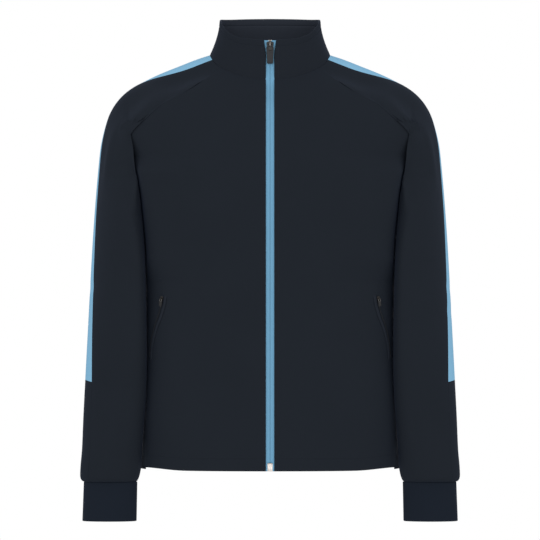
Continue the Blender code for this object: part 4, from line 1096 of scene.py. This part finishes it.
def hoop(middle, radius, thickness, axis="Y"):
    """A ring of round wire about an axis."""
    form = bmesh.new()
    rings = []
    for k in range(HOOP_STEPS):
        turn = 2 * math.pi * k / HOOP_STEPS
        ring = []
        for s in range(HOOP_SIDES):
            around = 2 * math.pi * s / HOOP_SIDES
            reach = radius + thickness * math.cos(around)
            lift = thickness * math.sin(around)
            flat = (reach * math.cos(turn), reach * math.sin(turn))
            spot = (flat[0], lift, flat[1]) if axis == "Y" else (lift, flat[0], flat[1])
            ring.append(form.verts.new(Vector(middle) + Vector(spot)))
        rings.append(ring)
    for first, second in zip(rings, rings[1:] + rings[:1]):
        for s in range(HOOP_SIDES):
            beyond = (s + 1) % HOOP_SIDES
            form.faces.new((first[s], first[beyond], second[beyond], second[s]))
    bmesh.ops.recalc_face_normals(form, faces=form.faces)
    return form


def bead(middle, size):
    """A small smooth bead, squashed to its three sizes."""
    form = bmesh.new()
    bmesh.ops.create_icosphere(form, subdivisions=2, radius=1.0)
    bmesh.ops.transform(form, verts=form.verts, matrix=Matrix.Translation(middle)
                        @ Matrix.Diagonal((*size, 1)))
    return form


def arc(middle, radius, start, end, steps):
    return [(middle[0] + radius * math.cos(math.radians(turn)),
             middle[1] + radius * math.sin(math.radians(turn)))
            for turn in np.linspace(start, end, steps)]


def mirrored(half):
    """A closed outline from its right half, given from the top middle to the bottom."""
    return half + [(-x, z) for x, z in reversed(half) if abs(x) > 1e-6]


def oblong(left, right, low, high):
    return [(left, low), (left, high), (right, high), (right, low)]


def tab(half_top, top, top_round, half_bottom, bottom, bottom_round, steps):
    """A pull's outline, its corners round: where each arc's middle lies, and its radius."""
    return mirrored([(0.0, top + top_round)] + arc((half_top, top), top_round, 90, 0, 4)
                    + arc((half_bottom, bottom), bottom_round, 0, -90, steps)
                    + [(0.0, bottom - bottom_round)])


# The front slider, in millimetres from its pull's pivot: X across, Y inwards and Z up.
# Each pair of depths is a plate's near and far face.
PIVOT_Z = 20.8 * MM
SLIDER_HALF = ([(0.0, 2.4), (0.7, 4.2)] + arc((3.3, 3.4), 2.7, 140, 0, 9)
               + [(5.7, -1.0), (5.0, -5.0)] + arc((2.9, -7.2), 1.8, 0, -90, 5) + [(0.0, -9.0)])
BACK_HALF = ([(0.0, 7.2)] + arc((3.0, 5.4), 1.8, 90, 0, 5)
             + arc((2.7, -7.2), 1.8, 0, -90, 5) + [(0.0, -9.0)])
SLIDER_DEPTHS, BACK_DEPTHS, POST_DEPTHS = (-2.1, -0.3), (1.5, 2.7), (-0.6, 1.8)
POST = oblong(-0.9, 0.9, 4.0, 7.0)
LOBE_AT, LOBE_SIZE = (3.3, -2.0, 2.6), (2.0, 0.8, 2.2)
CROWN = ((-0.9, 5.6), (-2.6, 5.4), (-4.2, 4.6), (-5.6, 3.2), (-6.5, 1.6),
         (-6.9, 0.0), (-6.4, -1.4), (-5.4, -2.2), (-4.0, -2.5), (-2.2, -2.4))
CROWN_WIDTH, CROWN_THICKNESS, CROWN_ROUND = 0.95, 1.0, 0.25
STOP_AT, STOP_HALF, STOP_HEIGHTS, STOP_DEPTHS = 1.75, 0.75, (6.9, 8.9), (-1.1, -0.1)
PULL_RING_AT, PULL_RING, PULL_WIRE = (0, -4.9, -5.2), 4.65, 0.3
PULL_FACE, PULL_FACE_DEPTHS = tab(3.7, -13.8, 1.2, 3.4, -28.0, 1.3, 5), (-5.15, -4.7)


def add_front_slider():
    """The slider's body, crown, top stops, and the pull's ring and face."""
    depth, _, outward = front_at(PIVOT_Z)
    where = place_at((0, depth[0], PIVOT_Z), (1, 0, 0), outward[0])
    x, y, z = LOBE_AT
    body = [plate(mirrored(SLIDER_HALF), *SLIDER_DEPTHS, 0.6),
            plate(mirrored(BACK_HALF), *BACK_DEPTHS, 0.4),
            bead((x, y, z), LOBE_SIZE), bead((-x, y, z), LOBE_SIZE),
            plate(POST, *POST_DEPTHS, 0.0)]
    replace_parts(finished("zip_slider_body", body, where, GUNMETAL, "jacket"),
                "zip_slider")
    crown = strap(CROWN, CROWN_WIDTH, CROWN_THICKNESS, CROWN_ROUND)
    finished("zip_slider_crown", [crown], where, SILVER, "jacket")
    stops = [plate(oblong(x - STOP_HALF, x + STOP_HALF, *STOP_HEIGHTS), *STOP_DEPTHS, 0.3)
             for x in (-STOP_AT, STOP_AT)]
    finished("zip_top_stops", stops, where, SILVER, "jacket")
    ring = hoop(PULL_RING_AT, PULL_RING, PULL_WIRE)
    finished("zip_pull_rim", [ring], where, WORN_AND_PAINTED_HIGHLIGHT, "main_pull")
    face = plate(PULL_FACE, *PULL_FACE_DEPTHS, 0.2)
    finished("zip_pull_face", [face], where, GREY, "main_pull")


# The zip box, in millimetres from its middle.
CHEEK_AT, CHEEK_WIDTH, CHEEK_TOP, CHEEK_ABOVE_END = (-3.4, 0.5), 2.9, 1.2, 1.2
CHEEK_DEPTHS, CHEEK_ROUND = (-2.0, -1.3), 0.3
STUD_AT, STUD_OUT, STUD_BELOW_END, STUD_SIZE = 2.2, -1.9, 1.3, (1.0, 0.6, 1.1)


def add_box():
    """The two studs and the two raised cheeks on the box's front."""
    low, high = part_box("zip_box")
    z = (low.z + high.z) / 2
    where = place_at((0, (low.y + high.y) / 2, z), (1, 0, 0), front_at(z)[2][0])
    end = (high.z - low.z) / 2 / MM
    forms = [bead((x, STUD_OUT, end - STUD_BELOW_END), STUD_SIZE) for x in (-STUD_AT, STUD_AT)]
    forms += [plate(oblong(x, x + CHEEK_WIDTH, CHEEK_ABOVE_END - end, CHEEK_TOP), *CHEEK_DEPTHS,
                    CHEEK_ROUND) for x in CHEEK_AT]
    finished("zip_box_relief", forms, where, BOX_SILVER, "jacket")


POCKET_SLIDER_AT, POCKET_SINK_RUN = 31 * MM, 12 * MM
TAPE_SINK, WELT_SINK = 0.9 * MM, 2.4 * MM
POCKET_TAPE_CELL, WELT_CELL = 1.6 * MM, 2.5 * MM
COIL_PITCH, COIL_OFFSET, COIL_END, COIL_STEP = 1.25 * MM, 0.45 * MM, 1.5 * MM, 0.2 * MM
COIL_LENGTH, COIL_WIDTH, COIL_PROUD = 2.0 * MM, 1.0 * MM, 0.45 * MM
# A pocket's pull and bridge, in millimetres from the pull's pivot.
POCKET_RING_AT, POCKET_RING, POCKET_WIRE = (0, -0.6, -2.2), 2.1, 0.32
POCKET_FACE, POCKET_FACE_DEPTHS = tab(1.9, -5.2, 0.8, 1.7, -11.5, 0.9, 4), (-0.25, 0.1)
POCKET_BRIDGE, POCKET_BRIDGE_WIRE = 1.2, 0.35


def pocket_strip(node, thickness, cell, depth, finish):
    """A narrow strip beside a pocket's mouth, laid down into the cloth above the slider."""
    strip = panel(node, from_middle, thickness=thickness, cell=cell)
    above = ease((POCKET_SLIDER_AT - strip.edge_distance("top")) / POCKET_SINK_RUN)
    strip.press(depth * above)
    strip.round_edges(("top", "bottom", "first", "last"))
    dress(node, strip, finish)
    return strip


def add_coil(side, strip):
    """The zip's coil below the slider: its turns lie left and right of the middle by turns."""
    count = int((strip.length - POCKET_SLIDER_AT) / COIL_PITCH)
    down = POCKET_SLIDER_AT + (np.arange(count) + 0.5) * COIL_PITCH
    down = down[down < strip.length - COIL_END]
    over = strip.width / 2 + COIL_OFFSET * np.where(np.arange(len(down)) % 2, 1, -1)
    places, normals = strip.spot(down, over)
    beside, _ = strip.spot(down, over + COIL_STEP)
    joined(f"pocket_coil_{side}", *spindles(places, unit(beside - places), normals, COIL_LENGTH,
                                            COIL_WIDTH, COIL_PROUD), DARK_COIL, "pocket_zip")


def pocket_pull_place(side):
    """The pivot of a pocket's pull, with Z up along the pull."""
    joint = next(j for j in frame["joints"] if j["child"] == f"{side}_pocket_pull")
    low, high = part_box(f"pocket_pull_{side}")
    origin, across = Vector(joint["pos_m"]), Vector(joint["axis"]).normalized()
    outward = across.cross(((low + high) / 2 - origin).normalized())
    outward = outward if outward.y < 0 else -outward
    return place_at(origin, across if across.cross(-outward).z > 0 else -across, outward)


def add_pocket(side):
    """A pocket's zip: strip, coil below the slider, welt, and the slider's bright parts."""
    strip = pocket_strip(f"pocket_zip_{side}", POCKET_TAPE_CLOTH, POCKET_TAPE_CELL, TAPE_SINK,
                         NAVY)
    # The welt's lighter navy is a painted highlight.
    pocket_strip(f"pocket_welt_{side}", WELT_CLOTH, WELT_CELL, WELT_SINK, WELT_PAINTED_HIGHLIGHT)
    add_coil(side, strip)
    where, pull = pocket_pull_place(side), f"{side}_pocket_pull"
    finished(f"pocket_pull_ring_{side}", [hoop(POCKET_RING_AT, POCKET_RING, POCKET_WIRE)], where,
             POCKET_SILVER, pull)
    # The edge plate is painted lighter than the dark pull: a painted highlight on its edge.
    finished(f"pocket_pull_edge_{side}", [plate(POCKET_FACE, *POCKET_FACE_DEPTHS, 0.1)], where,
             WORN_AND_PAINTED_HIGHLIGHT, pull)
    bridge = hoop((0, 0, 0), POCKET_BRIDGE, POCKET_BRIDGE_WIRE, "X")
    finished(f"pocket_slider_crown_{side}", [bridge], where, POCKET_SILVER,
             "jacket")


add_front_slider()
add_box()
for side, _ in SIDES:
    add_pocket(side)
NODE_FINISH = {"zip_box": BOX_SILVER, "zip_pull": GREY, "pocket_slider_left": GUNMETAL,
               "pocket_slider_right": GUNMETAL, "pocket_pull_left": DARK_PULL,
               "pocket_pull_right": DARK_PULL}
for node, finish in NODE_FINISH.items():
    NODES[node].data.materials.clear()
    NODES[node].data.materials.append(finish)


# ---------------------------------------------------------------- flat sizes

# Width, length and area of each cut, in metres.
CUTS = {"front": (0.255, 0.705, 0.1597), "sleeve_front": (0.200, 0.830, 0.0914),
        "sleeve_back": (0.235, 0.838, 0.1102), "stripe": (0.038, 0.656, 0.0243),
        "sleeve_strip": (0.038, 0.176, 0.0065), "cuff": (0.2185, 0.066, 0.0144),
        "back": (0.575, 0.760, 0.3772), "collar": (0.550, 0.075, 0.0322),
        "zip_tape": (0.016, 0.727, 0.0115)}


def declare():
    """For each cut cloth, gather the pieces sewn on it; nothing is done with them."""
    for name, piece in pieces.items():
        kind, side = kind_and_side(name)
        if kind not in CUTS:
            continue
        sewn_on = [bpy.data.objects[f"{name}_thread"]] if kind in ("front", "back", "collar") else []
        if kind == "front":
            sewn_on += [pieces[f"pocket_zip_{side}"], pieces[f"pocket_welt_{side}"]]


declare()


# ---------------------------------------------------------------- floor, light, camera

MIDDLE = Vector((0, 0, -350 * MM))
LIGHT_SIZE, KEY_AT, KEY_POWER, FILL_AT, FILL_POWER = 2.2, (-1.2, -4.4, 1.2), 42, (1.6, -4.4, -0.2), 28
FLOOR_Z, FLOOR_RADIUS, FLOOR_THICKNESS = -1.43, 3.0, 20 * MM
CAMERA_AT, FOCAL, FILM_WIDTH = (-0.1 * MM, -6.0, -352.8 * MM), 238.1, 36.0


def area_light(name, place, power):
    """A round light that faces the middle of the jacket."""
    data = bpy.data.lights.new(name, "AREA")
    data.shape, data.size, data.energy = "DISK", LIGHT_SIZE, power
    light = linked(name, data)
    light.location = place
    light.rotation_euler = (MIDDLE - Vector(place)).to_track_quat("-Z", "Y").to_euler()


def add_floor():
    """A round floor well below the jacket."""
    form = bmesh.new()
    bmesh.ops.create_circle(form, cap_ends=True, segments=96, radius=FLOOR_RADIUS)
    rim = [edge for edge in form.edges if edge.is_boundary]
    pulled = bmesh.ops.extrude_edge_only(form, edges=rim)["geom"]
    for part in pulled:
        if isinstance(part, bmesh.types.BMVert):
            part.co.z -= FLOOR_THICKNESS
    mesh = bpy.data.meshes.new("floor")
    form.to_mesh(mesh)
    form.free()
    mesh.materials.append(uneven_finish("floor", (0.78, 0.78, 0.77), 0.04, 0.03, Roughness=0.6)[0])
    floor = linked("floor", mesh)
    floor.location.z = FLOOR_Z


add_floor()
area_light("key", KEY_AT, KEY_POWER)
area_light("fill", FILL_AT, FILL_POWER)

world = bpy.data.worlds.new("studio")
world.use_nodes = True
world.node_tree.nodes["Background"].inputs["Color"].default_value = (1, 1, 1, 1)
world.node_tree.nodes["Background"].inputs["Strength"].default_value = 1.0
bpy.context.scene.world = world
bpy.context.scene.view_settings.view_transform = "Standard"

camera = linked("camera", bpy.data.cameras.new("camera"))
camera.data.lens, camera.data.sensor_width = FOCAL, FILM_WIDTH
camera.location = CAMERA_AT
camera.rotation_euler = (math.pi / 2, 0, 0)
bpy.context.scene.camera = camera
